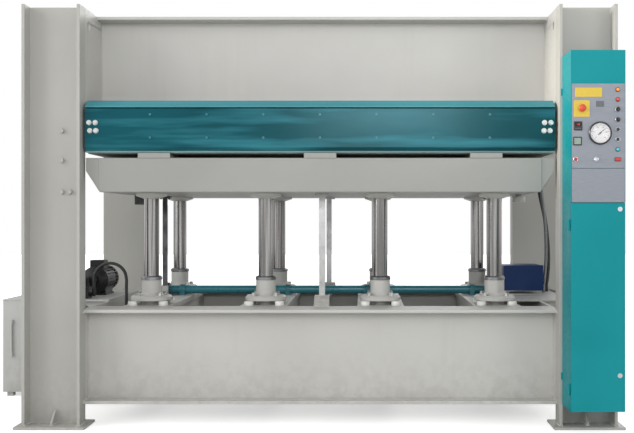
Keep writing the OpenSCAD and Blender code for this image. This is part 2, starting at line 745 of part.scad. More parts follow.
// Cabinet of sheets with open seams, with a door opening below the panel
module cabinet_box() color(teal) {
    s = sheet_t;
    yb = door_back + 0.5;
    joint = 0.2;
    x0 = cab_x0 + s + joint;
    x1 = cab_x1 - s - joint;
    yr = cab_back - s - joint;
    step = door_top + 2;
    along_x(cab_x0, s) cabinet_side(yb, yr);
    difference() {
        along_x(cab_x1 - s, s) cabinet_side(yb, yr);
        for (z = [cabinet_top - 60:-14:cabinet_top - 116])
            span(cab_x1 - s - 1, cab_x1 + 1, cab_front + 50, cab_back - 50, z, z + 5);
    }
    span(cab_x0, cab_x1, cab_back - s, cab_back, cabinet_bottom, cabinet_top);
    for (z = [cabinet_bottom + 160, cabinet_top - 200])
        span(cab_x0 - 8, half_w - 2, cab_back - s, cab_back, z - 20, z + 20);
    span(x0, x1, yb, yr, cabinet_bottom, cabinet_bottom + s);
    span(x0, x1, cab_front + s + joint, yr, cabinet_top - s, cabinet_top);
    span(x0, x1, cab_front + s + joint, yb + s, step, step + s);
    difference() {
        span(x0, x1, cab_front, cab_front + s, step, cabinet_top);
        span(cab_x0 + 9, cab_x1 - 9, cab_front - 1, cab_front + s + 1, panel_z0 + 9, panel_z1 - 9);
    }
    for (z = hinge_z) {
        translate([hinge_x, hinge_y, z - 30]) cylinder(h = 30, r = knuckle_r);
        translate([hinge_x, hinge_y, z]) cylinder(h = 26, r = knuckle_r / 2);
        span(hinge_x, cab_x0 + s, yb, yb + s, z - 30, z);
    }
}

// Four strips welded in round the door opening: the lip that the lock cams turn in behind
module door_frame() color(teal) {
    s = sheet_t;
    y0 = door_back + 0.5;
    joint = 0.2;
    z0 = cabinet_bottom + s;
    z1 = door_top + 2;
    span(cab_x0 + s, cab_x0 + lip, y0, y0 + s, z0, z1);
    span(cab_x1 - lip, cab_x1 - s, y0, y0 + s, z0, z1);
    span(cab_x0 + lip + joint, cab_x1 - lip - joint, y0, y0 + s, z0, cabinet_bottom + lip);
    span(cab_x0 + lip + joint, cab_x1 - lip - joint, y0, y0 + s, door_top - lip, z1);
}

// Mounting plate inside the cabinet with rows of breakers, contactors and terminals
module switchgear() color(white) {
    y1 = cab_back - sheet_t;
    y0 = y1 - 20;
    z0 = cabinet_bottom + 110;
    z1 = door_top - 110;
    span(cab_x0 + 24, cab_x1 - 24, y0, y0 + 3, z0, z1);
    for (x = [cab_x0 + 40, cab_x1 - 40], z = [z0 + 20, z1 - 20])
        bar_y([x, z], y0 + 2, 18, 6);
    for (k = [0:7])
        along_x(cab_x0 + 44 + k * 25, 23)
            polygon([[y0 + 1, z1 - 40], [y0 - 50, z1 - 60], [y0 - 50, z1 - 72], [y0 - 66, z1 - 80],
                     [y0 - 50, z1 - 92], [y0 - 50, z1 - 108], [y0 + 1, z1 - 128]]);
    for (k = [0:3])
        along_x(cab_x0 + 44 + k * 52, 48)
            polygon([[y0 + 1, z1 - 230], [y0 - 46, z1 - 230], [y0 - 62, z1 - 244],
                     [y0 - 62, z1 - 296], [y0 - 46, z1 - 310], [y0 + 1, z1 - 310]]);
    span(cab_x0 + 60, cab_x0 + 160, y0 - 84, y0 + 1, z0 + 190, z0 + 300);
    for (k = [0:15])
        along_x(cab_x0 + 44 + k * 13, 11)
            polygon([[y0 + 1, z0 + 60], [y0 - 26, z0 + 60], [y0 - 40, z0 + 78], [y0 - 26, z0 + 106],
                     [y0 + 1, z0 + 106]]);
}

// Things set on the panel's face: local Z points at the operator
module facing(at) {
    translate([at[0], face_y, at[1]]) rotate([90, 0, 0]) children();
}

// Panel plates with the collars that guide the buttons and knobs
module control_panel() color(panel_grey) {
    a = cab_x0 + 4;
    b = cab_x1 - 4;
    knobs = [stop_at, red_at, up_at, down_at, pump_at, heat_at, key_at];
    difference() {
        union() {
            span(a, b, face_y, cab_front, panel_z0 + 184, panel_z1);
            span(a, b, face_y, cab_front, panel_z0, panel_z0 + 182);
            for (p = knobs)
                facing(p) translate([0, 0, -24]) cylinder(h = 28, r = button_r + 3.5);
            for (x = [a + 8, b - 8], z = [panel_z0 + 8, panel_z0 + 174, panel_z0 + 192, panel_z1 - 8])
                facing([x, z]) cylinder(h = 2, r = 4);
        }
        for (p = knobs)
            facing(p) translate([0, 0, -26]) cylinder(h = 32, r = button_r + running_play);
        facing(gauge_at) translate([0, 0, -6]) cylinder(h = 8, r = gauge_d / 2 - 8);
    }
}

// Round pressure gauge with a raised rim and a sunk dial
module pressure_gauge() color(steel) facing(gauge_at) {
    r = gauge_d / 2;
    difference() {
        rotate_extrude()
            polygon([[0, -36], [r - 8, -36], [r - 8, 0], [r, 0], [r, 10], [r - 3, 13],
                     [r - 7, 13], [r - 8, 5], [0, 5]]);
        translate([0, 0, -1]) cylinder(h = 8, r = 1.5 + running_play);
    }
}

// Two small displays, the bare yellow plates and a blank grey plate
module panel_displays() color(black) {
    z = panel_z1;
    span(cab_x0 + 14, cab_x0 + 60, face_y - 5, face_y, z - 253, z - 205);
    span(cab_x0 + 10, cab_x0 + 57, face_y - 5, face_y, z - 334, z - 288);
    span(cab_x0 + 22, cab_x0 + 167, face_y - 1, face_y, z - 72, z - 22);
    span(cab_x0 + 134, cab_x0 + 178, face_y - 1, face_y, z - 126, z - 94);
    difference() {
        span(cab_x0 + 14, cab_x0 + 100, face_y - 1.5, face_y, z - 180, z - 90);
        facing(stop_at) translate([0, 0, -1]) cylinder(h = 4, r = button_r + 3.5);
    }
}

// Signal lamps: three round lenses and one bar
module signal_lamps() color("#C2372E") {
    for (z = lamp_z)
        facing([lamp_x, z]) rotate_extrude()
            polygon([[0, 0], [12, 0], [12, 4], [9, 5], [8, 9], [5, 12], [0, 13]]);
    facing(bar_at) translate([-17, -10, 0]) {
        cube([34, 20, 5]);
        translate([2, 2, 5]) cube([30, 16, 4]);
    }
}

// Table weldment: front and rear plates with cut lower corners around a ribbed box
module table_outline(inset) {
    h = table_half - inset;
    z0 = table_z0 + inset;
    z1 = table_z1 - inset;
    w = inset * 0.43;
    polygon([[-h, z1], [h, z1], [h, table_z0 + wing_rise + w], [table_half - wing_cut - w, z0],
             [wing_cut + w - table_half, z0], [-h, table_z0 + wing_rise + w]]);
}

module moving_table() color(grey) {
    difference() {
        union() {
            difference() {
                along_y(-table_y, 2 * table_y) table_outline(0);
                along_y(-table_y + table_skin, 2 * (table_y - table_skin)) table_outline(table_skin);
            }
            for (x = cyl_x)
                span(x - 8, x + 8, -table_y + 1, table_y - 1, table_z0 + 1, table_z1 - 1);
            for (s = [-1, 1])
                span(-table_half + 2, table_half - 2, s * row_y - 8, s * row_y + 8,
                     table_z0 + wing_rise + 12, table_z1 - 1);
        }
        for (y = [-0.75, 0.75] * row_y)
            bar_x(-table_half - 1, 2 * table_half + 2, y, table_z1 - 42, 16);
    }
    front_rear() along_y(-table_y - cover_reach, cover_reach)
        polygon([[-table_half + 74, table_z1 - 4], [table_half - 74, table_z1 - 4],
                 [table_half - 74, table_z0 + 12], [table_half - wing_cut - 8, table_z0 + 3],
                 [wing_cut + 8 - table_half, table_z0 + 3], [74 - table_half, table_z0 + 12]]);
}

// Plunger with the coned flange that carries the table
module rod_shape() {
    r = rod_d / 2;
    f = rod_flange_d / 2;
    z = table_z0 - rod_rim_t;
    rotate_extrude()
        polygon([[0, rod_z0], [r - 4, rod_z0], [r, rod_z0 + 4], [r, z - rod_cone_t],
                 [f - 6, z], [f, z + 3], [f, table_z0], [0, table_z0]]);
}

module front_rods() color(steel)
    for (x = cyl_x) translate([x, -row_y, 0]) rod_shape();
module rear_rods() color(steel)
    for (x = cyl_x) translate([x, row_y, 0]) rod_shape();

// Screws that hold the long covers, and the paired bolts at their ends
module table_bolts() color(steel) front_rear() {
    y = -table_y - 20;
    for (k = [-3:3], z = [lower_platen_z1 - 37, lower_platen_z1 - 169])
        translate([k * (table_half - 50) / 4, y, z]) rotate([90, 0, 0]) hex_head(13, 5);
    left_right()
        for (p = [[25, 84], [61, 84], [30, 130], [64, 130]])
            translate([table_half - p[0], y, lower_platen_z1 - p[1]]) rotate([90, 0, 0]) {
                cylinder(h = 3, r = 15);
                translate([0, 0, 3]) hex_head(22, 10);
            }
}

// Insulating bars between the table and the bolster
module insulating_spacers() color(dark_steel)
    for (x = [-0.709, 0, 0.709] * table_half)
        span(x - 90, x + 90, -platen_y + 34, platen_y - 34, table_z1, bolster_z0);

// Stop angles that keep the insulating bars from creeping out, front and rear, with their bolts
module table_clamps() color(grey)
    for (x = [-0.709, 0, 0.709] * table_half)
        front_rear() translate([x, 0, table_z1]) {
            front = -table_y - cover_reach;
            along_x(-92, 184)
                polygon([[front, 0], [-platen_y + 30, 0], [-platen_y + 30, 8], [front + 8, 8],
                         [front + 8, spacer_h + 2], [front, spacer_h + 2]]);
            for (t = [-1, 1])
                translate([t * 60, -platen_y - 4, 8]) hex_head(13, 8);
        }

// Lower bolster: a cellular weldment under the lower platen
module lower_bolster() color(grey) {
    cell = (2 * platen_y - 5 * 16) / 4;
    difference() {
        along_x(-table_half, 2 * table_half) difference() {
            translate([-platen_y, bolster_z0]) square([2 * platen_y, bolster_h]);
            for (k = [0:3])
                translate([-platen_y + 16 + k * (cell + 16), bolster_z0 + 18])
                    square([cell, bolster_h - 40]);
        }
    }
    for (x = cyl_x)
        along_x(x - 8, 16) difference() {
            translate([-platen_y + 1, bolster_z0 + 1]) square([2 * platen_y - 2, bolster_h - 2]);
            for (k = [0:3])
                translate([-platen_y + 16 + k * (cell + 16) + cell / 2, bolster_z0 + bolster_h / 2])
                    circle(d = bolster_h * 0.5);
        }
}

module lower_platen() color(dark_steel)
    span(-table_half, table_half, -platen_y, platen_y, lower_platen_z0, lower_platen_z1);

// Folded covers in front of and behind the lower bolster
module platen_skirts() color(dark_teal) front_rear() {
    s = sheet_t;
    out = -table_y - 20;
    in = -platen_y;
    z0 = bolster_z0 + 4;
    z1 = lower_platen_z1 - 3;
    along_x(-table_half, 2 * table_half)
        polygon([[in, z1], [out, z1], [out, z0 + 29], [out + 24, z0], [in, z0], [in, z0 + s],
                 [out + 25, z0 + s], [out + s, z0 + 30], [out + s, z1 - s], [in, z1 - s]]);
}

// Outline of a rack in Y and Z, with its teeth towards the shaft
module rack_outline() {
    p = tooth_pitch;
    q = p / 4 - backlash;
    m = gear_module;
    lo = q + 1.25 * m * tan(20);
    hi = q - m * tan(20);
    z_low = shaft_z + (rack_low - 0.5) * p - rack_end;
    teeth = [for (k = [rack_low:rack_high]) let(z = shaft_z + (k + 0.5) * p)
        each [[rack_root, z - lo], [rack_y + m, z - hi], [rack_y + m, z + hi], [rack_root, z + lo]]];
    polygon(concat([[rack_back, z_low], [rack_root, z_low]], teeth,
                   [[rack_root, table_z0], [rack_back, table_z0]]));
}

// The two racks, each with the foot that is bolted under the table
module racks() color(dark_steel)
    for (s = [-1, 1]) {
        along_x(s * rack_x - rack_w / 2, rack_w) rack_outline();
        difference() {
            span(s * rack_x - rack_w / 2 - 24, s * rack_x + rack_w / 2 + 24, rack_back - 16,
                 rack_root + 16, table_z0 - 14, table_z0);
            span(s * rack_x - rack_w / 2, s * rack_x + rack_w / 2, rack_back, rack_root,
                 table_z0 - 15, table_z0 + 1);
        }
        for (d = [-1, 1])
            translate([s * rack_x + d * (rack_w / 2 + 13), (rack_back + rack_root) / 2,
                       table_z0 - 21]) hex_head(13, 7);
    }

// Flat guide bars at the middle of the press, front and rear
module guide_bars() color(steel) front_rear() {
    a = guide_w / 2;
    b = guide_t / 2;
    span(-a, a, -guide_y - b, -guide_y + b, guide_z0, table_z0);
    span(-a - 24, a + 24, -guide_y - b - 16, -guide_y + b + 16, table_z0 - 12, table_z0);
}

// Manifold at the table's right end, and the two fittings under the table
module hose_manifold() color(dark_steel) {
    x0 = table_half;
    span(x0, right_x + 84, 215, 365, manifold_z0, table_z1);
    for (y = [250, 330])
        translate([right_x + 84, y, manifold_z0 + 30]) {
            rotate([0, 90, 0]) cylinder(h = 8, r = 19);
            rotate([0, 90, 0]) cylinder(h = elbow_x - right_x - 84, r = 13);
            translate([elbow_x - right_x - 84, 0, 0]) {
                sphere(r = 16);
                mirror([0, 0, 1]) cylinder(h = 34, r = 13);
                translate([0, 0, -34]) cylinder(h = 14, r = 17);
            }
        }
    span(-table_half + 96, -table_half + 200, -70, 50, table_z0 - 60, table_z0);
    translate([table_half - 122, -300, table_z0 - 48]) {
        cylinder(h = 34, r = 40);
        translate([0, 0, 34]) cylinder(h = 14, r = 22);
    }
}

// Torsion tube that ties the two racks together
module torsion_shaft() color(dark_teal)
    along_x(-shaft_half, 2 * shaft_half) translate([shaft_y, shaft_z]) difference() {
        circle(d = shaft_d);
        circle(d = shaft_bore);
    }

// Involute outline of a pinion, with a tooth pointing at the rack
function involute(r) = let(a = acos(base_r / r)) tan(a) * 180 / PI - a;
function half_angle(r) = 90 / pinion_teeth - backlash / pitch_r * 180 / PI
    + involute(pitch_r) - involute(max(r, base_r));
module pinion_outline() {
    radii = [root_r, base_r + 0.3, pitch_r - 0.5 * gear_module, pitch_r,
             pitch_r + 0.5 * gear_module, tip_r];
    polygon([for (k = [0:pinion_teeth - 1]) let(c = 180 + k * 360 / pinion_teeth)
        each concat(
            [for (r = radii) r * [cos(c - half_angle(r)), sin(c - half_angle(r))]],
            [for (i = [5:-1:0]) let(r = radii[i]) r * [cos(c + half_angle(r)), sin(c + half_angle(r))]])]);
}

module pinions() color(dark_steel)
    for (s = [-1, 1]) {
        along_x(s * rack_x - pinion_w / 2, pinion_w) translate([shaft_y, shaft_z]) difference() {
            pinion_outline();
            circle(d = shaft_d);
        }
        along_x(s * (rack_x + pinion_w / 2 + 6) - 6, 12) translate([shaft_y, shaft_z]) difference() {
            circle(d = shaft_d + 12);
            circle(d = shaft_d);
        }
    }

// Needle of the gauge, turning on a fine pin in the dial
module gauge_needle() color(black) facing(gauge_at) {
    cylinder(h = 9, r = 1.5);
    translate([0, 0, 5.4]) cylinder(h = 3, r = 5);
    rotate(42) translate([0, 0, 6]) linear_extrude(1.4)
        polygon([[-16, -2.5], [0, -3.2], [gauge_d / 2 - 20, -0.5], [gauge_d / 2 - 20, 0.5],
                 [0, 3.2], [-16, 2.5]]);
}

// Mushroom stop button on its stem
module stop_button() color("#D24A2C") facing(stop_at) {
    translate([0, 0, -18]) cylinder(h = 28, r = button_r);
    rotate_extrude()
        polygon([[0, 10], [15, 10], [20, 12], [20, 16], [17, 20], [10, 23], [0, 24]]);
}

// Flush push button
module push_cap(at) facing(at) {
    translate([0, 0, -18]) cylinder(h = 27, r = button_r);
}

module red_button() color("#B8322A") push_cap(red_at);
module up_button() color(black) push_cap(up_at);
module down_button() color(black) push_cap(down_at);

// Turning knob with a grip bar
module knob_shape(at, angle) facing(at) {
    translate([0, 0, -18]) cylinder(h = 24, r = button_r);
    translate([0, 0, 6]) intersection() {
        rotate(angle) translate([-4, -14, 0]) cube([8, 28, 13]);
        cylinder(h = 13, r1 = 13, r2 = 11.5);
    }
    translate([0, 0, 5]) cylinder(h = 3, r = 12);
}

module pump_selector() color(black) knob_shape(pump_at, 0);
module heat_selector() color(black) knob_shape(heat_at, 35);

// Key switch: barrel with the key's bow standing in it
module key_switch() color(bronze) facing(key_at) {
    difference() {
        translate([0, 0, -18]) cylinder(h = 26, r = button_r);
        translate([-1.6, -6, 0]) cube([3.2, 12, 9]);
    }
    translate([-1.5, -5, 0]) cube([3, 10, 18]);
    translate([0, 0, 26]) rotate([0, 90, 0]) translate([0, 0, -1.5]) difference() {
        cylinder(h = 3, r = 11);
        translate([-4, 0, -1]) cylinder(h = 5, r = 3.5);
    }
}

// Door: a folded pan with bores for the two locks and the upper halves of its hinges
module cabinet_door() color(teal) {
    s = sheet_t;
    x0 = cab_x0 + 1;
    x1 = cab_x1 - 1;
    z0 = cabinet_bottom + 2;
    difference() {
        span(x0, x1, cab_front, door_back, z0, door_top);
        span(x0 + s, x1 - s, cab_front + s, door_back + 1, z0 + s, door_top - s);
        for (z = [lock_low_z, lock_high_z])
            bar_y([lock_x, z], cab_front - 1, s + 2, lock_r + running_play);
    }
    for (z = hinge_z)
        difference() {
            union() {
                translate([hinge_x, hinge_y, z + passing_play]) cylinder(h = 30, r = knuckle_r);
                span(hinge_x, x0 + s, hinge_y - 3, hinge_y, z + passing_play,
                     z + passing_play + 30);
            }
            translate([hinge_x, hinge_y, z - 1])
                cylinder(h = 28.5, r = knuckle_r / 2 + running_play);
        }
}

// Quarter-turn lock: slotted head, shaft and the cam that turns in behind the frame's lip
module lock_shape(z) {
    difference() {
        union() {
            bar_y([lock_x, z], cab_front - 4, 4, 13);
            bar_y([lock_x, z], cab_front - 4, door_back + 6 - cab_front + 4, lock_r);
        }
        span(lock_x - 1.5, lock_x + 1.5, cab_front - 5, cab_front - 2, z - 9, z + 9);
    }
    span(lock_x - 7, lock_x + 7, door_back + 4.5, door_back + 8, z - 19, z + 7);
}

module upper_door_lock() color(steel) lock_shape(lock_high_z);
module lower_door_lock() color(steel) lock_shape(lock_low_z);

left_front_column();
left_rear_column();
right_front_column();
right_rear_column();
side_plates();
crosshead_front_beam();
crosshead_rear_beam();
crosshead_ribs();
base_front_beam();
base_rear_beam();
cylinder_bolsters();
front_cylinders();
rear_cylinders();
gland_rings();
frame_bolts();
upper_platen();
upper_skirts();
guide_blocks();
shaft_bearings();
oil_tank();
pump_motor();
valve_block();
equipment_shelves();
pressure_hose();
oil_pipes();
junction_box();
platen_hose();
table_hose();
cabinet_box();
door_frame();
switchgear();
control_panel();
pressure_gauge();
panel_displays();
signal_lamps();
moving_table();
front_rods();
rear_rods();
table_bolts();
table_clamps();
insulating_spacers();
lower_bolster();
lower_platen();
platen_skirts();
racks();
guide_bars();
hose_manifold();
torsion_shaft();
pinions();
gauge_needle();
stop_button();
red_button();
up_button();
down_button();
pump_selector();
heat_selector();
key_switch();
cabinet_door();
upper_door_lock();
lower_door_lock();
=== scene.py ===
import math
from collections import namedtuple
import bmesh
import bpy
from mathutils import Matrix, Vector


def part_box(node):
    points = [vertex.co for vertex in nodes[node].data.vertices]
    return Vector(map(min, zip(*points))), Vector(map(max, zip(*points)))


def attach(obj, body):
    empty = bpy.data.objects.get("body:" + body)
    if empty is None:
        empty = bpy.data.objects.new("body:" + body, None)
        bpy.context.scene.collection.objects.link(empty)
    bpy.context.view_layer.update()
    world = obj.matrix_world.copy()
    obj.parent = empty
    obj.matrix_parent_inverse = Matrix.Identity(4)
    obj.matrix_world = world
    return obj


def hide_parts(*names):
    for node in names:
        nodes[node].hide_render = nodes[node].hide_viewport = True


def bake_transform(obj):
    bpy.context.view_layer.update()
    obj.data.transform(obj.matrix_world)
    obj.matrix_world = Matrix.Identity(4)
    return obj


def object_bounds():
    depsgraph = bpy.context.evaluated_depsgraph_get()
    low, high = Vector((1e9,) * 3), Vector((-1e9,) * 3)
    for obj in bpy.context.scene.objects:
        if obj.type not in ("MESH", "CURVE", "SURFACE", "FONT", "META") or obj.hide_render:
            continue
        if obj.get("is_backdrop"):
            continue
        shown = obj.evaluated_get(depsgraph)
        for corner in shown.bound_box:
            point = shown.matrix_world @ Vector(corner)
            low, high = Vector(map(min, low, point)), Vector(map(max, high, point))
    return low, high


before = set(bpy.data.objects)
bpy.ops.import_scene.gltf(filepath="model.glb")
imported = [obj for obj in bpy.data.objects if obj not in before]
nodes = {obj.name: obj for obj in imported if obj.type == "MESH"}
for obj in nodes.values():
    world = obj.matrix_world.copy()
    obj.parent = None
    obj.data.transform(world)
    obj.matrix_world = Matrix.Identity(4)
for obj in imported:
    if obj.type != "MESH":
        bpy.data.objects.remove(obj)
cad_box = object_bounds()
scene = bpy.context.scene

# The camera.
# The photograph looks straight at the front from 4.8 m before the columns, at eye height, and a
# little to the right of the middle of the press. The lens takes in 41 degrees. The picture is cut
# off centre, which the shift of the lens repeats.
photo_px, focal_px, shift_right_px, shift_up_px = 634, 850, -46.85, 1.5
eye = (0.25, -5.61, 1.19)
lens_data = bpy.data.cameras.new("camera")
lens_data.sensor_width = 36
lens_data.lens = lens_data.sensor_width * focal_px / photo_px
lens_data.shift_x = shift_right_px / photo_px
lens_data.shift_y = shift_up_px / photo_px
lens_data.clip_end = 60
camera = bpy.data.objects.new("camera", lens_data)
camera.location = eye
camera.rotation_euler = (math.pi / 2, 0, 0)
scene.collection.objects.link(camera)
scene.camera = camera
scene.view_settings.view_transform = "Standard"


# The hoses.
# Two crimped hoses, one braided and one rubber, hang from the manifold on the table's right end
# to the wiring shelf, with slack for the table's whole stroke. A third arches from the valve
# block to the base. Their routes are those of the part's source.
def linear(code):
    """A colour written as sRGB hex, as the linear numbers that a shader takes."""
    parts = [int(code[i:i + 2], 16) / 255 for i in (1, 3, 5)]
    return [c / 12.92 if c < 0.04045 else ((c + 0.055) / 1.055) ** 2.4 for c in parts] + [1.0]


def give(tree, socket, value):
    """An input takes a plain value, or a link from another socket."""
    if isinstance(value, bpy.types.NodeSocket):
        tree.links.new(value, socket)
    else:
        socket.default_value = value


def add(tree, kind, settings=None, **inputs):
    """A node in a tree: its settings by name, and its inputs by name or, as i0, by number."""
    node = tree.nodes.new(kind)
    for name, value in (settings or {}).items():
        setattr(node, name, value)
    for name, value in inputs.items():
        numbered = name[0] == "i" and name[1:].isdigit()
        give(tree, node.inputs[int(name[1:]) if numbered else name.replace("_", " ")], value)
    return node


# What a finish is made of. Grain is noise with grains size_mm across, which may be stretched
# along an axis. A zone is one inside its bounds on an axis, and a fade runs between them. |X| is
# the distance to the middle of the press. Each goes from its start to its end.
Grain = namedtuple("Grain", "size_mm low high start end detail stretch",
                   defaults=(0.0, 1.0, 0.0, 1.0, 3.0, None))
Zone = namedtuple("Zone", "axis low high start end", defaults=(0.0, 1.0))
Fade = namedtuple("Fade", "axis low high start end")
Plait = namedtuple("Plait", "pitch_mm")


def pattern(tree, place, spec):
    """The socket of a pattern, whose start and end may be patterns too, or a plain value."""
    if isinstance(spec, Plait):
        return add(tree, "ShaderNodeTexWave", {"bands_direction": "DIAGONAL"}, Vector=place,
                   Scale=1000 / spec.pitch_mm, Distortion=1.5).outputs["Fac"]
    if not isinstance(spec, (Grain, Zone, Fade)):
        return spec
    start, end = (pattern(tree, place, value) for value in (spec.start, spec.end))
    low, high = spec.low, spec.high
    if isinstance(spec, Grain):
        if spec.stretch:
            place = add(tree, "ShaderNodeMapping", None, Vector=place,
                        Scale=spec.stretch).outputs[0]
        source = add(tree, "ShaderNodeTexNoise", None, Vector=place, Scale=1000 / spec.size_mm,
                     Detail=spec.detail).outputs["Fac"]
    else:
        axes = add(tree, "ShaderNodeSeparateXYZ", None, Vector=place).outputs
        source = axes[spec.axis.strip("|")]
        if spec.axis.startswith("|"):
            source = add(tree, "ShaderNodeMath", {"operation": "ABSOLUTE"}, i0=source).outputs[0]
    if isinstance(spec, Zone):
        source = add(tree, "ShaderNodeMath", {"operation": "COMPARE"}, i0=source,
                     i1=(low + high) / 2, i2=(high - low) / 2).outputs[0]
        low, high = 0.0, 1.0
    return add(tree, "ShaderNodeMapRange", None, Value=source, From_Min=low, From_Max=high,
               To_Min=start, To_Max=end).outputs[0]


def layered(tree, place, colours):
    """A colour, or a list of one and what lies over it: pairs of a pattern and a colour."""
    if isinstance(colours, str):
        return linear(colours)
    body = linear(colours[0])
    for where, colour in colours[1:]:
        body = add(tree, "ShaderNodeMix", {"data_type": "RGBA"}, i0=pattern(tree, place, where),
                   i6=body, i7=layered(tree, place, colour)).outputs[2]
    return body


def finish(name, colours, relief=None, **inputs):
    """A finish with layered colours. Relief is a pattern with its depth in mm and its strength,
    and the shader's other inputs are values or patterns."""
    made = bpy.data.materials.new(name)
    made.use_nodes = True
    tree = made.node_tree
    shader = tree.nodes["Principled BSDF"]
    place = add(tree, "ShaderNodeTexCoord").outputs["Object"]
    give(tree, shader.inputs["Base Color"], layered(tree, place, colours))
    for key, value in inputs.items():
        give(tree, shader.inputs[key.replace("_", " ")], pattern(tree, place, value))
    if relief:
        height, depth_mm, strength = relief
        bump = add(tree, "ShaderNodeBump", None, Height=pattern(tree, place, height),
                   Distance=depth_mm / 1000, Strength=strength)
        give(tree, shader.inputs["Normal"], bump.outputs[0])
    return made


# Extruded nitrile hose cover: dull black with a fine cloth print, and paler dust in patches
hose_rubber = finish("nitrile_hose_cover", [
    "#1C1E1E", (Grain(60, 0.45, 0.75, 0.0, 0.5), "#3B3F3C")], (Grain(2.0, detail=1.0), 0.2, 0.5),
    Roughness=Grain(12, 0.3, 0.7, 0.5, 0.7))


def smooth_path(points, steps):
    """The curve that the part's source draws through its points."""
    out = []
    for i in range(len(points) - 1):
        a, b = points[max(i - 1, 0)], points[i]
        c, d = points[i + 1], points[min(i + 2, len(points) - 1)]
        for k in range(steps):
            t = k / steps
            out.append(0.5 * (2 * b + (c - a) * t + (2 * a - 5 * b + 4 * c - d) * t * t
                              + (3 * b - a - 3 * c + d) * t ** 3))
    out.append(points[-1])
    return out


def mesh_piece(name, points, faces, mat, body, smooth=False):
    """A mesh object at the origin, with outward faces, riding on its body."""
    mesh = bpy.data.meshes.new(name)
    mesh.from_pydata([tuple(p) for p in points], [], faces)
    work = bmesh.new()
    work.from_mesh(mesh)
    bmesh.ops.remove_doubles(work, verts=work.verts, dist=1e-6)
    bmesh.ops.recalc_face_normals(work, faces=work.faces)
    work.to_mesh(mesh)
    work.free()
    for polygon in mesh.polygons:
        polygon.use_smooth = smooth
    mesh.materials.append(mat)
    obj = bpy.data.objects.new(name, mesh)
    scene.collection.objects.link(obj)
    if body:
        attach(obj, body)
    return obj


def tube(points, radius, sides=14):
    """Points and faces of a round tube along a path, closed at both ends."""
    rings, faces = [], []
    normal = (points[1] - points[0]).normalized().orthogonal().normalized()
    for i, p in enumerate(points):
        t = (points[min(i + 1, len(points) - 1)] - points[max(i - 1, 0)]).normalized()
        normal = (normal - t * normal.dot(t)).normalized()
        side = t.cross(normal)
        rings += [p + radius * (math.cos(a) * normal + math.sin(a) * side)
                  for a in (2 * math.pi * k / sides for k in range(sides))]
    for i in range(len(points) - 1):
        for k in range(sides):
            a, b = i * sides + k, i * sides + (k + 1) % sides
            faces.append((a, b, b + sides, a + sides))
    faces.append(tuple(range(sides)))
    last = (len(points) - 1) * sides
    faces.append(tuple(last + k for k in range(sides)))
    return rings, faces


# Steel-braided hose: plaited wire, its colour painted bright on the crowns, a painted highlight,
# and dark between them, painted shade. Its plait of 2 to 3 mm is drawn 6 mm wide, or it would not
# show.
plait = Plait(6.0)
# Pale crowns and dark gaps in the colour: painted highlight and painted shade of the plait
braid = finish("plaited_steel_braid", ["#3C3D3E", (plait, "#8E9092")], (plait, 0.4, 0.6),
               Metallic=0.7, Roughness=Grain(12, 0.3, 0.7, 0.38, 0.55))

manifold_z, shelf_z, end_x = 1.474, 0.675, 1.355
pipe_x, pipe_y, arch_z = -1.275, -0.150, 0.796


def fall(share):
    """A height at a share of the way from the shelf up to the manifold."""
    return shelf_z + share * (manifold_z - shelf_z)


elbow_x, outlet_z = end_x + 0.114, manifold_z - 0.004
hose_routes = {
    "table_hose": (0.022, braid, [
        (elbow_x, 0.250, outlet_z), (elbow_x, 0.250, outlet_z - 0.020),
        (elbow_x, 0.250, outlet_z - 0.040),
        (end_x + 0.122, 0.252, fall(0.85)), (end_x + 0.140, 0.257, fall(0.675)),
        (end_x + 0.152, 0.263, fall(0.475)), (end_x + 0.154, 0.270, fall(0.287)),
        (end_x + 0.147, 0.278, fall(0.137)), (end_x + 0.142, 0.285, shelf_z + 0.050),
        (end_x + 0.142, 0.285, shelf_z + 0.025), (end_x + 0.142, 0.285, shelf_z)]),
    "platen_hose": (0.028, hose_rubber, [
        (elbow_x, 0.330, outlet_z), (elbow_x, 0.330, outlet_z - 0.020),
        (elbow_x, 0.330, outlet_z - 0.040),
        (end_x + 0.128, 0.332, fall(0.837)), (end_x + 0.158, 0.337, fall(0.662)),
        (end_x + 0.180, 0.344, fall(0.462)), (end_x + 0.188, 0.351, fall(0.274)),
        (end_x + 0.182, 0.359, fall(0.124)), (end_x + 0.176, 0.364, shelf_z + 0.050),
        (end_x + 0.176, 0.364, shelf_z + 0.025), (end_x + 0.176, 0.364, shelf_z)]),
    "pressure_hose": (0.020, hose_rubber, [
        (pipe_x - 0.208, pipe_y, arch_z - 0.060), (pipe_x - 0.208, pipe_y, arch_z - 0.030),
        (pipe_x - 0.208, pipe_y, arch_z), (pipe_x - 0.200, pipe_y, arch_z + 0.040),
        (pipe_x - 0.178, pipe_y, arch_z + 0.074), (pipe_x - 0.144, pipe_y, arch_z + 0.096),
        (pipe_x - 0.104, pipe_y, arch_z + 0.104), (pipe_x - 0.064, pipe_y, arch_z + 0.096),
        (pipe_x - 0.030, pipe_y, arch_z + 0.074), (pipe_x - 0.008, pipe_y, arch_z + 0.040),
        (pipe_x, pipe_y, arch_z), (pipe_x, pipe_y, arch_z - 0.030),
        (pipe_x, pipe_y, arch_z - 0.060), (pipe_x, pipe_y, arch_z - 0.090),
        (pipe_x, pipe_y, 0.641), (pipe_x, pipe_y, 0.611)])}
steps = 6
for name, (bore, cover, route) in hose_routes.items():
    line = smooth_path([Vector(p) for p in route], steps)
    rings, faces = tube(line, bore / 2)
    hose = mesh_piece(name + "_run", rings, faces, cover, None, True)
    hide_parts(name)
    if name == "pressure_hose":
        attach(hose, "frame")
    else:
        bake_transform(hose)

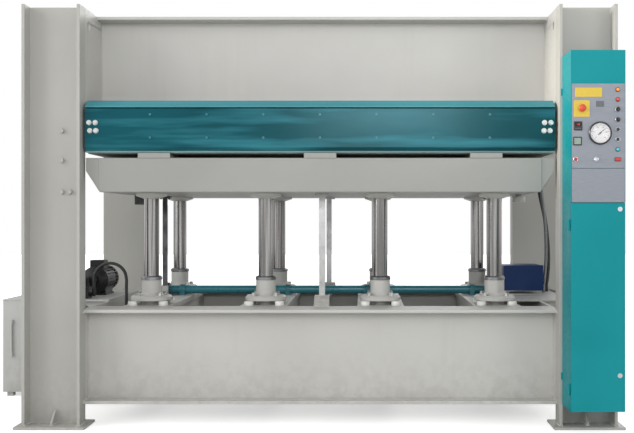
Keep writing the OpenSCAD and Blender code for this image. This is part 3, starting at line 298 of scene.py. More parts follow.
# The floor and the light.
# The photograph is cut out on white, so the floor and all round it are white, and only a soft
# shadow shows on the floor. A large lamp stands to the left front, the fill lamp where the
# polished cover mirrors it at its middle, and a warm spot falls on the right column's edge.
floor_paint = finish("white_studio_floor", "#E9E9E7", Roughness=0.9,
                     Emission_Color=linear("#FFFFFF"))
tree = floor_paint.node_tree
place = add(tree, "ShaderNodeTexCoord").outputs["Object"]
away = add(tree, "ShaderNodeVectorMath", {"operation": "LENGTH"}, i0=place).outputs["Value"]
whiter = add(tree, "ShaderNodeMapRange", None, Value=away, From_Min=3.0, From_Max=8.0, To_Min=0.55,
             To_Max=1.0).outputs[0]
rays = add(tree, "ShaderNodeLightPath").outputs
glow = add(tree, "ShaderNodeMath", {"operation": "MULTIPLY"}, i0=rays["Is Camera Ray"], i1=whiter)
give(tree, tree.nodes["Principled BSDF"].inputs["Emission Strength"], glow.outputs[0])
floor_z = -0.0005
floor = mesh_piece("studio_floor", [(-16, -10, floor_z), (16, -10, floor_z), (16, 22, floor_z),
                                    (-16, 22, floor_z)], [(0, 1, 2, 3)], floor_paint, None)
floor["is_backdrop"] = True

# White to the camera, in mirrors and through glass, and dimmer where it only gives light
world = bpy.data.worlds.new("studio")
world.use_nodes = True
scene.world = world
tree = world.node_tree
rays = add(tree, "ShaderNodeLightPath").outputs
seen = rays["Is Camera Ray"]
for ray in ("Is Transmission Ray", "Is Glossy Ray"):
    seen = add(tree, "ShaderNodeMath", {"operation": "MAXIMUM"}, i0=seen, i1=rays[ray]).outputs[0]
level = add(tree, "ShaderNodeMapRange", None, Value=seen, To_Min=0.58, To_Max=1.0)
give(tree, tree.nodes["Background"].inputs["Color"], linear("#FFFFFF"))
give(tree, tree.nodes["Background"].inputs["Strength"], level.outputs[0])


def lamp(name, place, aim, size, power, cone=None):
    """A square lamp, or with a cone in degrees a soft-edged spot, turned to what it aims at."""
    data = bpy.data.lights.new(name, "SPOT" if cone else "AREA")
    if cone:
        data.spot_size = math.radians(cone)
        data.spot_blend = 1.0
        data.shadow_soft_size = size
        data.color = (1.0, 0.95, 0.84)
    else:
        data.shape = "SQUARE"
        data.size = size
    data.energy = power
    obj = bpy.data.objects.new(name, data)
    obj.location = place
    obj.rotation_euler = (Vector(aim) - Vector(place)).to_track_quat("-Z", "Y").to_euler()
    scene.collection.objects.link(obj)


lamp("key_lamp", (-7.6, -4.2, 3.8), (0.3, 0, 1.4), 4.5, 300)
lamp("fill_lamp", (0.6, -8.0, 3.5), (0, 0, 1.3), 2.3, 160)
lamp("side_lamp", (6.0, -5.5, 3.4), (0.5, 0, 1.3), 3.0, 90)
lamp("rear_lamp", (2.5, 7.0, 5.5), (0, 0, 1.2), 4.0, 220)
lamp("warm_spot", (-6.0, -1.9, 3.2), (1.45, -0.96, 1.95), 0.15, 2500, 11.5)

# The portal frame.
# Rolled steel channels and beams, welded and sprayed with light grey machine enamel. The columns
# and the inner side plates stand on foot plates, and ribs tie the two crosshead beams together.
def enamel(name, colour, shade, rough, soil=0.0, specular=0.5):
    """Sprayed machine enamel: two close tones in clouds as wide as a spray gun's pass, orange
    peel drawn 3.5 mm wide so that it shows, and with soil some run marks and dirt low down."""
    colours = [shade, (Grain(700, 0.35, 0.65, detail=4.0), colour)]
    if soil:
        dirt = Grain(45, 0.40, 0.62, 0.0, soil, 8.0)
        colours += [(Grain(90, 0.56, 0.80, 0.0, 0.16, 6.0, (1.0, 1.0, 0.12)), "#9C9A92"),
                    (Fade("Z", 0.0, 0.45, dirt, 0.0), "#8A857A")]
    return finish(name, colours, (Grain(3.5, detail=2.0), 0.12, 0.35),
                  Roughness=Grain(25, 0.3, 0.7, rough - 0.05, rough + 0.08),
                  Specular_IOR_Level=specular)


# Satin machine enamel: a warm, pale grey that looks uneven and handled, not new. The columns'
# coat is a shade darker, and soil dulls both above the floor.
frame_enamel = enamel("light_grey_machine_enamel", "#BDBCB8", "#B6B5B1", 0.42, 0.35)
column_enamel = enamel("grey_column_enamel", "#ADACA7", "#A7A6A1", 0.42, 0.25)


def dress(name, mat, edge_mm):
    """A CAD node keeps its shape, takes a finish, and has its edges rounded to catch the light."""
    obj = nodes[name]
    obj.data.materials.clear()
    obj.data.materials.append(mat)
    if edge_mm:
        weld = obj.modifiers.new("joined", "WELD")
        weld.merge_threshold = 1e-6
        bevel = obj.modifiers.new("rounded", "BEVEL")
        bevel.width = edge_mm / 1000
        bevel.segments = 2
        bevel.limit_method = "ANGLE"
        bevel.angle_limit = math.radians(50)


for name in ("left_front_column", "left_rear_column", "right_front_column", "right_rear_column"):
    dress(name, column_enamel, 2.0)
for name in ("side_plates", "crosshead_front_beam", "crosshead_rear_beam", "base_front_beam",
             "base_rear_beam"):
    dress(name, frame_enamel, 2.0)
for name in ("crosshead_ribs", "cylinder_bolsters"):
    dress(name, frame_enamel, 1.5)

# The welds of the frame.
# Painted fillet welds where the beams meet the side plates, where the columns stand on their
# feet and round the gussets: a row of overlapping ripples, laid along the real seams. The front
# beams mirror the rear ones.
def corners(name):
    """A node's lowest and highest corner, as plain numbers to a tenth of a millimetre."""
    return [[round(v, 4) for v in corner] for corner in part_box(name)]


rear_beams = [corners("base_rear_beam"), corners("crosshead_rear_beam")]
column_in, _, head_top = rear_beams[1][1]
column_out, column_front, column_web = 1.685, 0.810, 0.710
web_thick, flange_thick, plate_half = 0.014, 0.018, 0.006
foot_top, gusset_x, gusset_out, gusset_in, gusset_top = 0.015, 1.520, 0.795, 0.724, 0.085
seams = []
for sx in (-1, 1):
    for sy in (-1, 1):
        x = sx * column_in
        for (_, inside, low), (_, outside, top) in rear_beams:
            y_mid, beam_half = sy * (inside + outside) / 2, (outside - inside) / 2
            inner_low, inner_top = low + flange_thick, top - flange_thick
            for s in (-1, 1):
                web, lip = y_mid + s * plate_half, y_mid + s * beam_half
                seams.append([(x, web, inner_low), (x, web, inner_top)])
                seams.append([(x, web, inner_low), (x, lip, inner_low)])
                seams.append([(x, web, inner_top), (x, lip, inner_top)])
        front, web = sy * column_front, sy * column_web
        inner_web = web + sy * web_thick
        out_x, in_x = sx * (column_out - flange_thick), sx * (column_in + flange_thick)
        seams.append([(out_x, front, foot_top), (out_x, inner_web, foot_top),
                      (in_x, inner_web, foot_top), (in_x, front, foot_top)])
        seams.append([(sx * column_out, front, foot_top), (sx * column_out, web, foot_top),
                      (sx * column_in, web, foot_top), (sx * column_in, front, foot_top)])
        for s in (-1, 1):
            x = sx * gusset_x + s * plate_half
            seams.append([(x, sy * gusset_out, foot_top), (x, sy * gusset_in, foot_top),
                          (x, sy * gusset_in, gusset_top)])


def laid_tree(name, inputs):
    """A node tree that takes these named inputs and gives back the geometry that it lays."""
    tree = bpy.data.node_groups.new(name, "GeometryNodeTree")
    for label, kind in inputs.items():
        tree.interface.new_socket(label, in_out="INPUT", socket_type="NodeSocket" + kind)
    tree.interface.new_socket("Laid", in_out="OUTPUT", socket_type="NodeSocketGeometry")
    return tree, tree.nodes.new("NodeGroupInput").outputs


def lay(tree, points, shape, turn, scale, paint):
    """The end of a tree: a shape at each point, made real and painted."""
    copies = add(tree, "GeometryNodeInstanceOnPoints", None, Points=points, Instance=shape,
                 Rotation=turn, Scale=scale).outputs[0]
    solid = add(tree, "GeometryNodeRealizeInstances", None, Geometry=copies).outputs[0]
    done = add(tree, "GeometryNodeSetMaterial", None, Geometry=solid, Material=paint).outputs[0]
    tree.links.new(done, tree.nodes.new("NodeGroupOutput").inputs[0])


def weld_tree():
    """Geometry nodes: one flattened ripple, laid along every seam at an even pitch."""
    tree, given = laid_tree("weld_ripples", {"Seams": "Geometry", "Pitch": "Float",
                                             "Radius": "Float", "Finish": "Material"})
    curve = add(tree, "GeometryNodeMeshToCurve", None, Mesh=given["Seams"]).outputs[0]
    beads = add(tree, "GeometryNodeResampleCurve", {"mode": "LENGTH"}, Curve=curve,
                Length=given["Pitch"]).outputs[0]
    ball = add(tree, "GeometryNodeMeshUVSphere", None, Segments=8, Rings=5,
               Radius=given["Radius"]).outputs[0]
    along = add(tree, "GeometryNodeInputTangent").outputs[0]
    turn = add(tree, "FunctionNodeAlignRotationToVector", {"axis": "Z"}, Vector=along).outputs[0]
    lay(tree, beads, ball, turn, (1.0, 1.0, 0.75), given["Finish"])
    return tree


def grown(name, tree, points, edges, values, body, smooth):
    """An object made by a node tree from points and edges, turned into a plain mesh."""
    mesh = bpy.data.meshes.new(name)
    mesh.from_pydata([tuple(p) for p in points], edges, [])
    seed = bpy.data.objects.new(name, mesh)
    scene.collection.objects.link(seed)
    work = seed.modifiers.new("grow", "NODES")
    work.node_group = tree
    for item in tree.interface.items_tree:
        if item.in_out == "INPUT" and item.name in values:
            work[item.identifier] = values[item.name]
    bpy.context.view_layer.update()
    graph = bpy.context.evaluated_depsgraph_get()
    result = bpy.data.meshes.new_from_object(seed.evaluated_get(graph))
    seed.modifiers.clear()
    seed.data = result
    for polygon in result.polygons:
        polygon.use_smooth = smooth
    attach(seed, body)
    return seed


points, edges = [], []
for seam in seams:
    start = len(points)
    points += seam
    edges += [(start + k, start + k + 1) for k in range(len(seam) - 1)]
welds = grown("frame_welds", weld_tree(), points, edges,
              {"Pitch": 0.007, "Radius": 0.0055, "Finish": frame_enamel}, "frame", True)

# The cylinders.
# Steel barrels painted with the frame, each with a machined gland ring. Their flanges are held
# by white-painted clamp posts with plated bolts.
for name in ("front_cylinders", "rear_cylinders"):
    dress(name, frame_enamel, 0)


def bare_metal(name, colour, dark, rough, grain_mm, stretch=None, depth=0.01, stain=0.0):
    """Bare metal: its own colour, tool marks along one way, an oily film in patches as wide as
    a hand, and with stain some rusty spots."""
    colours = [colour, (Grain(120, 0.42, 0.70, detail=5.0), dark)]
    if stain:
        colours.append((Grain(30, 0.58, 0.72, 0.0, stain, 8.0), "#4A3B2A"))
    marks = Grain(grain_mm, detail=2.0, stretch=stretch)
    gloss = marks._replace(low=0.3, high=0.7, start=rough - 0.05, end=rough + 0.09)
    return finish(name, colours, (marks, depth, 0.3), Metallic=1.0, Roughness=gloss)


# Turned and oiled carbon steel: dark, with rings of tool marks drawn coarser than the real ones
turned_steel = bare_metal("turned_carbon_steel", "#8C8D8F", "#5F6062", 0.38, 3.0, (1, 1, 6), 0.02,
                          0.3)
dress("gland_rings", turned_steel, 0)

# White enamel on the posts, zinc plate on the bolts above them, and grey enamel on the bolts of
# the columns: the posts stand out clean and bright, and their bolts glint
post_bolts_low, post_bolts_high, column_bolts_low = 0.71, 0.99, 1.0
plated_zone = Zone("Z", post_bolts_low, post_bolts_high)
clamp_finish = finish("white_posts_and_plated_bolts", [
    "#E2E1DC", (Grain(40, 0.40, 0.70, 0.0, 0.6, 5.0), "#C9C8C2"),
    (Zone("Z", column_bolts_low, head_top), "#A9A8A3"), (plated_zone, "#B9BAB6")],
    Metallic=plated_zone._replace(end=0.9), Roughness=Grain(8, 0.3, 0.7, 0.32, 0.48))
dress("frame_bolts", clamp_finish, 0.8)

# The plungers.
# Ground and hard-chromed steel bars: a mirror along their length with a faint grinding pattern
# around them. Their colour is drawn dark, with long pale streaks down it: painted reflections of
# the hall. Their coned heads are painted where they carry the table, and that enamel is drawn
# paler than it is: a painted highlight where the table shades them.
rod_top = 1.3085
painted_head = Zone("Z", rod_top, head_top)
# The grinding marks of 0.1 mm are drawn 1.6 mm apart, so that they break up the reflections
ground = Grain(1.6, 0.3, 0.7, 0.10, 0.20, 2.0, (0.05, 0.05, 1.0))
# Dark chrome with long pale streaks, painted reflections of the hall; the heads' pale enamel is a
# painted highlight
plunger_chrome = finish("ground_hard_chrome", [
    "#7B7977", (Grain(16, 0.42, 0.60, detail=4.0, stretch=(1.0, 1.0, 0.02)), "#AAA8A7"),
    (painted_head, "#CFCEC8")], Metallic=painted_head._replace(start=1.0, end=0.0),
    Roughness=painted_head._replace(start=ground, end=ground._replace(start=0.40, end=0.50)))
for name in ("front_rods", "rear_rods"):
    dress(name, plunger_chrome, 0)

# The moving table.
# A welded box with a raised front cover plate. Its lower corners are cut. It has the frame's
# enamel drawn a darker grey, painted shade where the crosshead above shades it, and clean, with
# no soil on it, because it stands clear of the floor.
# Darker than the frame's enamel: painted shade
table_enamel = enamel("table_enamel", "#979894", "#91918D", 0.44)
dress("moving_table", table_enamel, 2.0)
dress("lower_bolster", table_enamel, 1.5)
dress("table_clamps", table_enamel, 0.8)

# The screws of the covers are sprayed with them, and only the paired end bolts are bare and pale
end_bolts = Zone("|X|", 1.15, column_out)
fleck = Grain(8, 0.4, 0.65, detail=4.0)
screw_finish = finish("sprayed_screws_and_plated_bolts", [
    "#1D5F6B", (fleck, "#34808A"), (end_bolts, ["#B9BCBA", (fleck, "#D5D7D4")])],
    Metallic=end_bolts._replace(end=0.6), Roughness=0.38)
dress("table_bolts", screw_finish, 0.4)

# The insulating bars.
# Pressed fibre-cement board between table and bolster: pale tan and quite matt, with flecks and
# a soft edge.
board = finish("fibre_cement_board", ["#8E8574", (Grain(4, 0.45, 0.62, detail=6.0), "#B3A78E")],
               (Grain(5, detail=6.0), 0.4, 0.5), Roughness=0.92)
dress("insulating_spacers", board, 1.5)

# The hot platens.
# Ground steel plates, brown where the heat has tinted them. Their grinding grain runs along
# the press, and is drawn coarser than the real one.
platen_steel = bare_metal("ground_platen_steel", "#7E7A75", "#58524B", 0.36, 5.0, (0.1, 1, 1),
                          0.02, 0.4)
for name in ("upper_platen", "lower_platen"):
    dress(name, platen_steel, 1.0)

# The covers of the platens.
# Folded sheet steel, sprayed dark teal and polished. Soft, paler stripes along it in its colour
# are painted reflections of what stands before it, and the same stripes vary its gloss; a pale
# line along its bottom edge is a painted highlight. It shows a pale blue-green patch at its
# middle, as its shine is tinted. The sloping upper cover is drawn a lighter teal, painted light
# from above on its slope, and dust dulls it.
# Paler stripes in the colour: painted reflections; they also set the gloss
painted_reflection_bands = Grain(110, 0.50, 0.67, 0.0, 0.7, stretch=(0.10, 1.0, 1.0))
# A pale line along the bottom edge: a painted highlight
painted_edge_highlight = Fade("Z", 1.571, 1.574, 0.8, 0.0)
cover_gloss = finish("dark_teal_gloss_enamel", [
    "#033C44", (Grain(650, 0.40, 0.62), "#094A54"), (painted_reflection_bands, "#35808D"), (painted_edge_highlight, "#8FB0AE")],
    (Grain(160, detail=2.0), 0.6, 0.25), Specular_IOR_Level=0.36, Specular_Tint=linear("#A6E3EE"),
    Roughness=painted_reflection_bands._replace(low=0.3, high=0.7, start=0.16, end=0.28))
dress("platen_skirts", cover_gloss, 0.8)
# A lighter teal than the cover: painted light from above on the slope
slope_enamel = enamel("teal_slope_enamel", "#3C8F99", "#2F808A", 0.40)
dress("upper_skirts", slope_enamel, 0.8)

# The guide shoes.
# Cast bronze blocks, screwed to the side plates, rubbed bright where the bolster slides.
bronze = bare_metal("cast_bronze", "#A98450", "#7D6038", 0.40, 8.0, (1, 1, 0.15), 0.03, 0.3)
dress("guide_blocks", bronze, 1.0)

# The synchroniser.
# A torsion tube in four pillow blocks, painted dark teal, with cut pinions at its ends. The
# racks and pinions are bare, oiled steel, and grease darkens the teeth.
tube_enamel = enamel("dark_teal_tube_enamel", "#357F8A", "#2B6F7A", 0.30)
dress("torsion_shaft", tube_enamel, 0)
# Brushed-on enamel with a coarse skin: teal on the pillow blocks, grey on the rack housings
cloud = Grain(50, 0.40, 0.65, detail=5.0)
pillow_blocks = Zone("|X|", 0.21, 1.05)
bearing_finish = finish("teal_blocks_and_grey_housings", [
    "#B1B0AC", (cloud, "#9E9C96"), (pillow_blocks, ["#2A6D78", (cloud, "#1F5C67")])],
    (Grain(5.0), 0.3, 0.4), Roughness=Grain(25, 0.3, 0.7, 0.36, 0.50))
dress("shaft_bearings", bearing_finish, 0.8)
gear_steel = bare_metal("greased_gear_steel", "#6E6F72", "#3A3836", 0.35, 4.0, None, 0.02, 0.5)
for name in ("racks", "pinions"):
    dress(name, gear_steel, 0)
# Drawn flat bar, bright along its length
bright_bar = bare_metal("bright_drawn_bar", "#AFAFAF", "#8B8B89", 0.30, 3.0, (1, 1, 0.04), 0.01,
                        0.15)
dress("guide_bars", bright_bar, 0.8)

# The oil unit.
# A welded sheet tank with a level glass, a motor with its pump, and a valve block, standing
# behind the left column. The tank is sprayed grey and soiled low down, and the motor's black
# coat is dark and oily, with a low shine.
tank_enamel = enamel("tank_enamel", "#B4B4B2", "#ABABA9", 0.45, 0.3)
motor_black = enamel("oily_black_enamel", "#1D1F1E", "#121413", 0.42, specular=0.3)
# Zinc-plated steel: pale, slightly blue metal with a satin surface
plated = bare_metal("zinc_plated_steel", "#C9CCD0", "#A4A7AA", 0.34, 6.0)
dress("oil_tank", tank_enamel, 1.2)
dress("pump_motor", motor_black, 0)
dress("valve_block", motor_black, 0.6)
dress("equipment_shelves", tank_enamel, 0.8)
dress("oil_pipes", plated, 0)
# Oily black block at the end, and a pale enamelled disc under the table near its right end
cloud = Grain(30, 0.40, 0.65, detail=5.0)
pale_disc = Zone("X", 1.12, 1.28)
manifold_finish = finish("oily_black_block_and_pale_disc", [
    "#232526", (cloud, "#393A39"), (pale_disc, ["#C3C4C1", (cloud, "#AAABA8")])],
    (Grain(4.0), 0.3, 0.4), Roughness=Grain(18, 0.3, 0.7, 0.32, 0.52))
dress("hose_manifold", manifold_finish, 1.0)

# The wiring box.
# A sheet-steel box with a lidded front, on a folded rail. Its dark blue enamel is deep and dull.
box_enamel = enamel("navy_box_enamel", "#152F5C", "#11274C", 0.36, specular=0.2)
dress("junction_box", box_enamel, 1.2)

# The control cabinet.
# Folded sheet steel in bright teal enamel, even and only faintly glossy: a deeper head that
# holds the panel, and a door with two quarter-turn locks below it, on lift-off hinges.
cabinet_enamel = enamel("bright_teal_enamel", "#178A91", "#118289", 0.34, specular=0.12)
dress("cabinet_box", cabinet_enamel, 1.2)
dress("door_frame", cabinet_enamel, 0.3)
dress("cabinet_door", cabinet_enamel, 1.5)
for name in ("upper_door_lock", "lower_door_lock"):
    dress(name, plated, 0.4)
# Inside it: a galvanised plate, pale breakers, black contactors, a varnished coil, grey terminals
mounting_plate = Zone("Y", -0.8335, 0.0)
contactors, coil = Zone("Z", 0.847, 0.937), Zone("Z", 0.433, 0.553)
terminals = Zone("Z", 0.301, 0.361)
switch_finish = finish("galvanised_plate_and_moulded_switchgear", [
    "#D4D4CE", (contactors, "#2B2D2F"), (coil, "#4B453C"), (terminals, "#9AA096"),
    (mounting_plate, ["#A3A7A8", (Grain(14, 0.35, 0.65, detail=2.0), "#B6B9B9")])],
    Metallic=mounting_plate._replace(end=0.6), Roughness=0.45)
dress("switchgear", switch_finish, 0.6)

# The control panel.
# Two satin-anodised aluminium plates, screwed to the cabinet's head: the upper carries the
# controls and the gauge, the lower is blank. Anodising leaves a fine brushed grain, which is
# drawn 1.5 mm wide so that it shows.
brushed = Grain(1.5, detail=2.0, stretch=(0.03, 1.0, 1.0))
panel_metal = finish("satin_anodised_aluminium", [
    "#7A7F88", (brushed._replace(low=0.3, high=0.7), "#868B94")], (brushed, 0.02, 0.4),
    Metallic=0.3, Roughness=0.42)
dress("control_panel", panel_metal, 0.5)


def plain(name, colour, fleck, rough, **inputs):
    """A moulded or printed surface: one colour, with a faint mottle so that it isn't dead flat."""
    return finish(name, [colour, (Grain(6, 0.3, 0.7), fleck)], Roughness=rough, **inputs)


# Moulded nylon and lacquer drink the light, and the red plastics keep a small bright highlight
knob_black = plain("black_moulded_nylon", "#1B1C1E", "#242527", 0.42)
needle_black = plain("black_lacquer", "#101112", "#151617", 0.35)
stop_red = plain("red_moulded_plastic", "#C9472A", "#BD4025", 0.30)
push_red = plain("dark_red_plastic", "#B5322B", "#A82D27", 0.32)
for name, mat in (("gauge_needle", needle_black), ("stop_button", stop_red),
                  ("red_button", push_red), ("up_button", knob_black), ("down_button", knob_black),
                  ("pump_selector", knob_black), ("heat_selector", knob_black),
                  ("key_switch", plated)):
    dress(name, mat, 0)

# The instruments on the panel.
# Two square instruments in black moulded cases, and blank yellow and grey plates, fixed to the
# panel's face. Their places are measured from the head's left edge and the panel's top. The panel
# is set in from that edge, and its collars stand proud of its face.
(panel_left, panel_front, _), (_, _, panel_top) = corners("control_panel")
panel_inset, collar_height = 0.004, 0.004
cab_x, face = panel_left - panel_inset, panel_front + collar_height


def on_panel(points, right, down):
    """Points given as right, up and out of the panel, in mm, put at a place on its face."""
    return [Vector((cab_x + right / 1000 + u / 1000, face - w / 1000,
                    panel_top - down / 1000 + v / 1000)) for u, v, w in points]


def turned(profile, sides):
    """Points and faces of a turned form: pairs of radius and height, from the axis to the axis."""
    rings, faces = [], []
    for r, h in profile:
        rings += [(r * math.cos(2 * math.pi * k / sides), r * math.sin(2 * math.pi * k / sides), h)
                  for k in range(sides)]
    for i in range(len(profile) - 1):
        for k in range(sides):
            a, b = i * sides + k, i * sides + (k + 1) % sides
            faces.append((a, b, b + sides, a + sides))
    return rings, faces


def stepped(half_w, half_h, steps, radius):
    """Points and faces of a moulded square case: insets and heights, with rounded corners."""
    points, faces = [], []
    for inset, height in steps:
        r = max(radius - inset, 0.3)
        for sx, sy, first in ((1, 1, 0), (-1, 1, 90), (-1, -1, 180), (1, -1, 270)):
            for k in range(4):
                a = math.radians(first + k * 30)
                points.append((sx * (half_w - inset - r) + r * math.cos(a),
                               sy * (half_h - inset - r) + r * math.sin(a), height))
    count = len(points) // len(steps)
    for i in range(len(steps) - 1):
        for k in range(count):
            a, b = i * count + k, i * count + (k + 1) % count
            faces.append((a, b, b + count, a + count))
    faces.append(tuple(range(count)))
    faces.append(tuple(range(len(points) - count, len(points))))
    return points, faces


def fitting(name, form, place, mat, smooth=False):
    """A small piece on the panel, with its place as mm to the right and down."""
    points, faces = form
    return mesh_piece(name, on_panel(points, *place), faces, mat, "frame", smooth)


# Moulded cases are black with a soft shine, the screens behind them darker and glassy, and the
# printed plates satin
case_black = plain("black_moulded_case", "#17191B", "#1E2022", 0.38)
screen_dark = plain("smoked_screen", "#0E1012", "#121518", 0.08)
digit_red = plain("lit_red_segments", "#E2412E", "#D63A28", 0.4,
                  Emission_Color=linear("#FF4A30"), Emission_Strength=1.2)
screen_green = plain("grey_green_display", "#8C9C92", "#7F9086", 0.25)
plate_yellow = plain("yellow_printed_plate", "#CDB23A", "#C4A935", 0.36)
plate_grey = plain("grey_printed_plate", "#54575E", "#5C5F66", 0.40)

controller_at, screen_at, timer_at = (37, 229), (37, 221), (33.5, 311)
controller = fitting("temperature_controller",
                     stepped(23, 24, [(0, 0), (0, 4), (1.2, 5), (3.2, 5), (4.0, 3.6)], 2),
                     controller_at, case_black)
fitting("controller_screen", stepped(18.5, 9, [(0, 3.65), (0, 4.1)], 0.5), screen_at, screen_dark)
fitting("timer_case", stepped(23.5, 23, [(0, 0), (0, 4), (1.2, 5), (4.2, 5), (5.0, 3.6)], 2),
        timer_at, case_black)
fitting("timer_screen", stepped(18, 17.5, [(0, 3.65), (0, 4.2)], 1.0), timer_at, screen_green)
for k in range(3):
    fitting(f"controller_key_{k}", stepped(3.6, 2.6, [(0, 3.6), (0, 4.6), (0.6, 5.0)], 0.8),
            (controller_at[0] + (k - 1) * 11, 243), plate_grey)

# The controller's lit figures, as flat bars: in a cell 4.2 mm wide and 8 mm high, each bar has
# its middle and its half sizes
bars = {"a": (0, 3.4, 1.6, 0.4), "b": (1.8, 1.7, 0.4, 1.4), "c": (1.8, -1.7, 0.4, 1.4),
        "d": (0, -3.4, 1.6, 0.4), "e": (-1.8, -1.7, 0.4, 1.4), "f": (-1.8, 1.7, 0.4, 1.4),
        "g": (0, 0, 1.6, 0.4)}
lit = {"1": "bc", "0": "abcdef", "8": "abcdefg"}
corners = ((-1, -1), (1, -1), (1, 1), (-1, 1))
box_faces = ((0, 1, 2, 3), (4, 5, 6, 7), (0, 1, 5, 4), (1, 2, 6, 5), (2, 3, 7, 6), (3, 0, 4, 7))
points, faces = [], []
for k, digit in enumerate("108"):
    for u, v, a, b in (bars[bar] for bar in lit[digit]):
        start = len(points)
        points += [(u + (k - 1) * 7 + p * a, v + q * b, h) for h in (4.1, 4.4) for p, q in corners]
        faces += [tuple(start + i for i in box_face) for box_face in box_faces]
fitting("controller_figures", (points, faces), screen_at, digit_red)
fitting("yellow_title_plate", stepped(72.5, 25, [(0, 0), (0, 0.6), (0.4, 1.0)], 2), (94.5, 47),
        plate_yellow)
fitting("grey_plate", stepped(22, 16, [(0, 0), (0, 0.6), (0.4, 1.0)], 1.5), (156, 110), plate_grey)

# The stop button's yellow plate: nearly square, with a round hole for the button's collar
sides, hole_radius, half_w, half_h = 64, 12.6, 43, 45
angles = [2 * math.pi * (k + 0.5) / sides for k in range(sides)]
hole = [(hole_radius * math.cos(a), hole_radius * math.sin(a)) for a in angles]
rim = [(math.cos(a) / max(abs(math.cos(a)) / half_w, abs(math.sin(a)) / half_h) - 1,
        math.sin(a) / max(abs(math.cos(a)) / half_w, abs(math.sin(a)) / half_h) - 2)
       for a in angles]
points = [(u, v, h) for ring in (rim, hole) for h in (0.05, 1.5) for u, v in ring]
faces = []
for k in range(sides):
    n = (k + 1) % sides
    for a, b in ((0, 1), (1, 3), (3, 2), (2, 0)):
        faces.append((a * sides + k, a * sides + n, b * sides + n, b * sides + k))
fitting("yellow_stop_plate", (points, faces), (58, 133), plate_yellow)
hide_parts("panel_displays")

# The signal lamps.
# Ribbed polycarbonate lenses in black bezels: orange and red above, blue-green below them, and
# a wide red one in the bottom row. They glow faintly, and a clear coat gives each a highlight.
lens_form = turned([(0, 1), (9.2, 1), (9.2, 6), (8.6, 8.6), (6.4, 11.2), (3.4, 12.6), (0, 12.9)],
                   32)
bezel_form = turned([(8.8, 0), (12, 0), (12, 3.4), (11.2, 4.6), (9.6, 5), (8.8, 4.6), (8.8, 0)],
                    32)
row_right, row_down = 252, 410
for tag, colour, deep, down in (("orange", "#E58A2C", "#D97F24", 33),
                                ("red", "#C93A2E", "#BC3328", 86),
                                ("blue_green", "#3FA9B8", "#379DAC", 356)):
    lens_colour = plain(tag + "_polycarbonate", colour, deep, 0.18, Coat_Weight=0.5,
                        Emission_Color=linear(colour), Emission_Strength=0.15)
    fitting(tag + "_lamp_lens", lens_form, (row_right, down), lens_colour, True)
    fitting(tag + "_lamp_bezel", bezel_form, (row_right, down), case_black, True)
bar_red = plain("wide_red_polycarbonate", "#C23A30", "#B6342B", 0.20, Coat_Weight=0.5)
bar_lamp = fitting("wide_lamp_lens", stepped(14.5, 7.5, [(0, 4), (0, 7), (1.0, 8.6)], 1.5),
                   (row_right, row_down), bar_red)
fitting("wide_lamp_frame",
        stepped(17, 10, [(0, 0), (0, 4.2), (0.8, 5.0), (2.3, 5.0), (2.4, 4.0)], 2),
        (row_right, row_down), case_black)
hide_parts("signal_lamps")

# The collars of the buttons and knobs.
# Zinc-plated rings, pale and satin, screwed down over the panel's holes.
collar_form = turned([(9.4, 3.9), (12.6, 3.9), (13.4, 2.6), (13.6, 0.1), (14.2, 0.05), (14.0, 1.4),
                      (13.6, 3.4), (12.4, 4.7), (10.4, 4.9), (9.4, 4.4), (9.4, 3.9)], 36)
for tag, right, down in (("pump", row_right, 139), ("heat", row_right, 195), ("up", row_right, 248),
                         ("down", row_right, 302), ("red", 24, row_down), ("key", 135, row_down)):
    fitting(tag + "_collar", collar_form, (right, down), plated, True)

# The gauge.
# A black steel case with a white enamelled dial, black scale marks and figures, and a glass. The
# case and the dial are smooth and softly glossy, and the print on the dial is dull.
gauge_black = plain("black_enamelled_case", "#1A1C1E", "#212325", 0.28)
dress("pressure_gauge", gauge_black, 0)
dial_white = plain("white_enamel_dial", "#DCDBDE", "#D6D5D8", 0.35)
mark_black = plain("black_screen_print", "#17181A", "#1F2022", 0.5)
gauge_at = (156, 268)
fitting("gauge_dial", turned([(2.2, 5.05), (2.2, 5.35), (53.8, 5.35), (53.8, 5.05), (2.2, 5.05)],
                             72), gauge_at, dial_white)


def mark_tree():
    """Geometry nodes: flat strokes set on the dial's scale by the angle of each point."""
    tree, given = laid_tree("scale_marks", {"Places": "Geometry", "Stroke": "Vector",
                                            "Centre": "Vector", "Finish": "Material"})
    stroke = add(tree, "GeometryNodeMeshCube", None, Size=given["Stroke"]).outputs[0]
    here = add(tree, "GeometryNodeInputPosition").outputs[0]
    away = add(tree, "ShaderNodeVectorMath", {"operation": "SUBTRACT"}, i0=here,
               i1=given["Centre"]).outputs[0]
    turn = add(tree, "FunctionNodeAlignRotationToVector", {"axis": "X", "pivot_axis": "Y"},
               Vector=away).outputs[0]
    lay(tree, given["Places"], stroke, turn, (1.0, 1.0, 1.0), given["Finish"])
    return tree


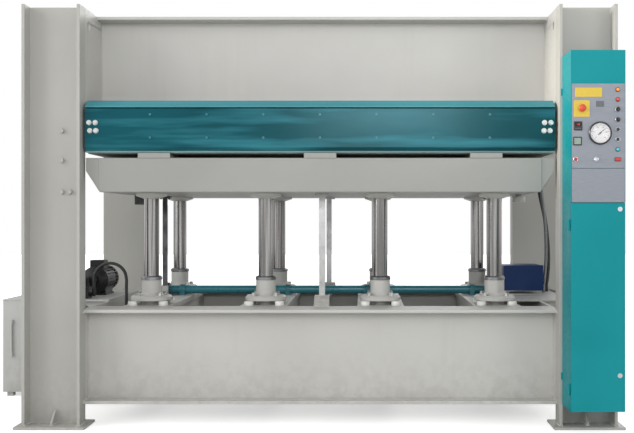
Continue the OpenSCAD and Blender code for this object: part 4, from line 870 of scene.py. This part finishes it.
gauge_x, gauge_z = cab_x + gauge_at[0] / 1000, panel_top - gauge_at[1] / 1000
dial_y = face - 0.00545
scale_start, scale_sweep = 225, 270


def on_dial(share, radius):
    """The place of a mark or a figure at a share of the way round the scale."""
    a = math.radians(scale_start - scale_sweep * share)
    return gauge_x + radius * math.cos(a), dial_y, gauge_z + radius * math.sin(a)


marks = mark_tree()
for tag, count, radius, stroke in (("fine", 51, 0.0465, (0.0032, 0.0002, 0.0005)),
                                   ("bold", 11, 0.045, (0.007, 0.0002, 0.0013))):
    scale = grown(tag + "_scale_marks", marks, [on_dial(k / (count - 1), radius)
                                                for k in range(count)], [],
                  {"Stroke": stroke, "Centre": (gauge_x, dial_y, gauge_z), "Finish": mark_black},
                  "frame", False)

figure_radius, figure_size, figures = 0.0345, 0.0095, 6
for k in range(figures):
    curve = bpy.data.curves.new(f"dial_figure_{k}", "FONT")
    curve.body = str(k * 50)
    curve.size = figure_size
    curve.align_x = "CENTER"
    curve.align_y = "CENTER"
    curve.extrude = 0.0001
    source = bpy.data.objects.new(f"dial_figure_{k}_source", curve)
    scene.collection.objects.link(source)
    bpy.context.view_layer.update()
    graph = bpy.context.evaluated_depsgraph_get()
    mesh = bpy.data.meshes.new_from_object(source.evaluated_get(graph))
    bpy.data.objects.remove(source)
    mesh.transform(Matrix.Translation(on_dial(k / (figures - 1), figure_radius))
                   @ Matrix.Rotation(math.pi / 2, 4, "X"))
    mesh.materials.clear()
    mesh.materials.append(mark_black)
    number = bpy.data.objects.new(f"dial_figure_{k}", mesh)
    scene.collection.objects.link(number)
    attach(number, "frame")
# Clear float glass: it shows only as a faint reflection over the dial
glass = finish("clear_gauge_glass", "#FFFFFF", Roughness=0.03, Alpha=0.10)
fitting("gauge_glass", turned([(0, 10.6), (54.2, 10.6), (54.2, 11.6), (0, 12.2)], 64), gauge_at,
        glass, True)


# The size of the part and of the dressed scene
low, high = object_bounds()
({"cad": [list(map(float, v)) for v in cad_box],
           "scene": [list(map(float, low)), list(map(float, high))]})
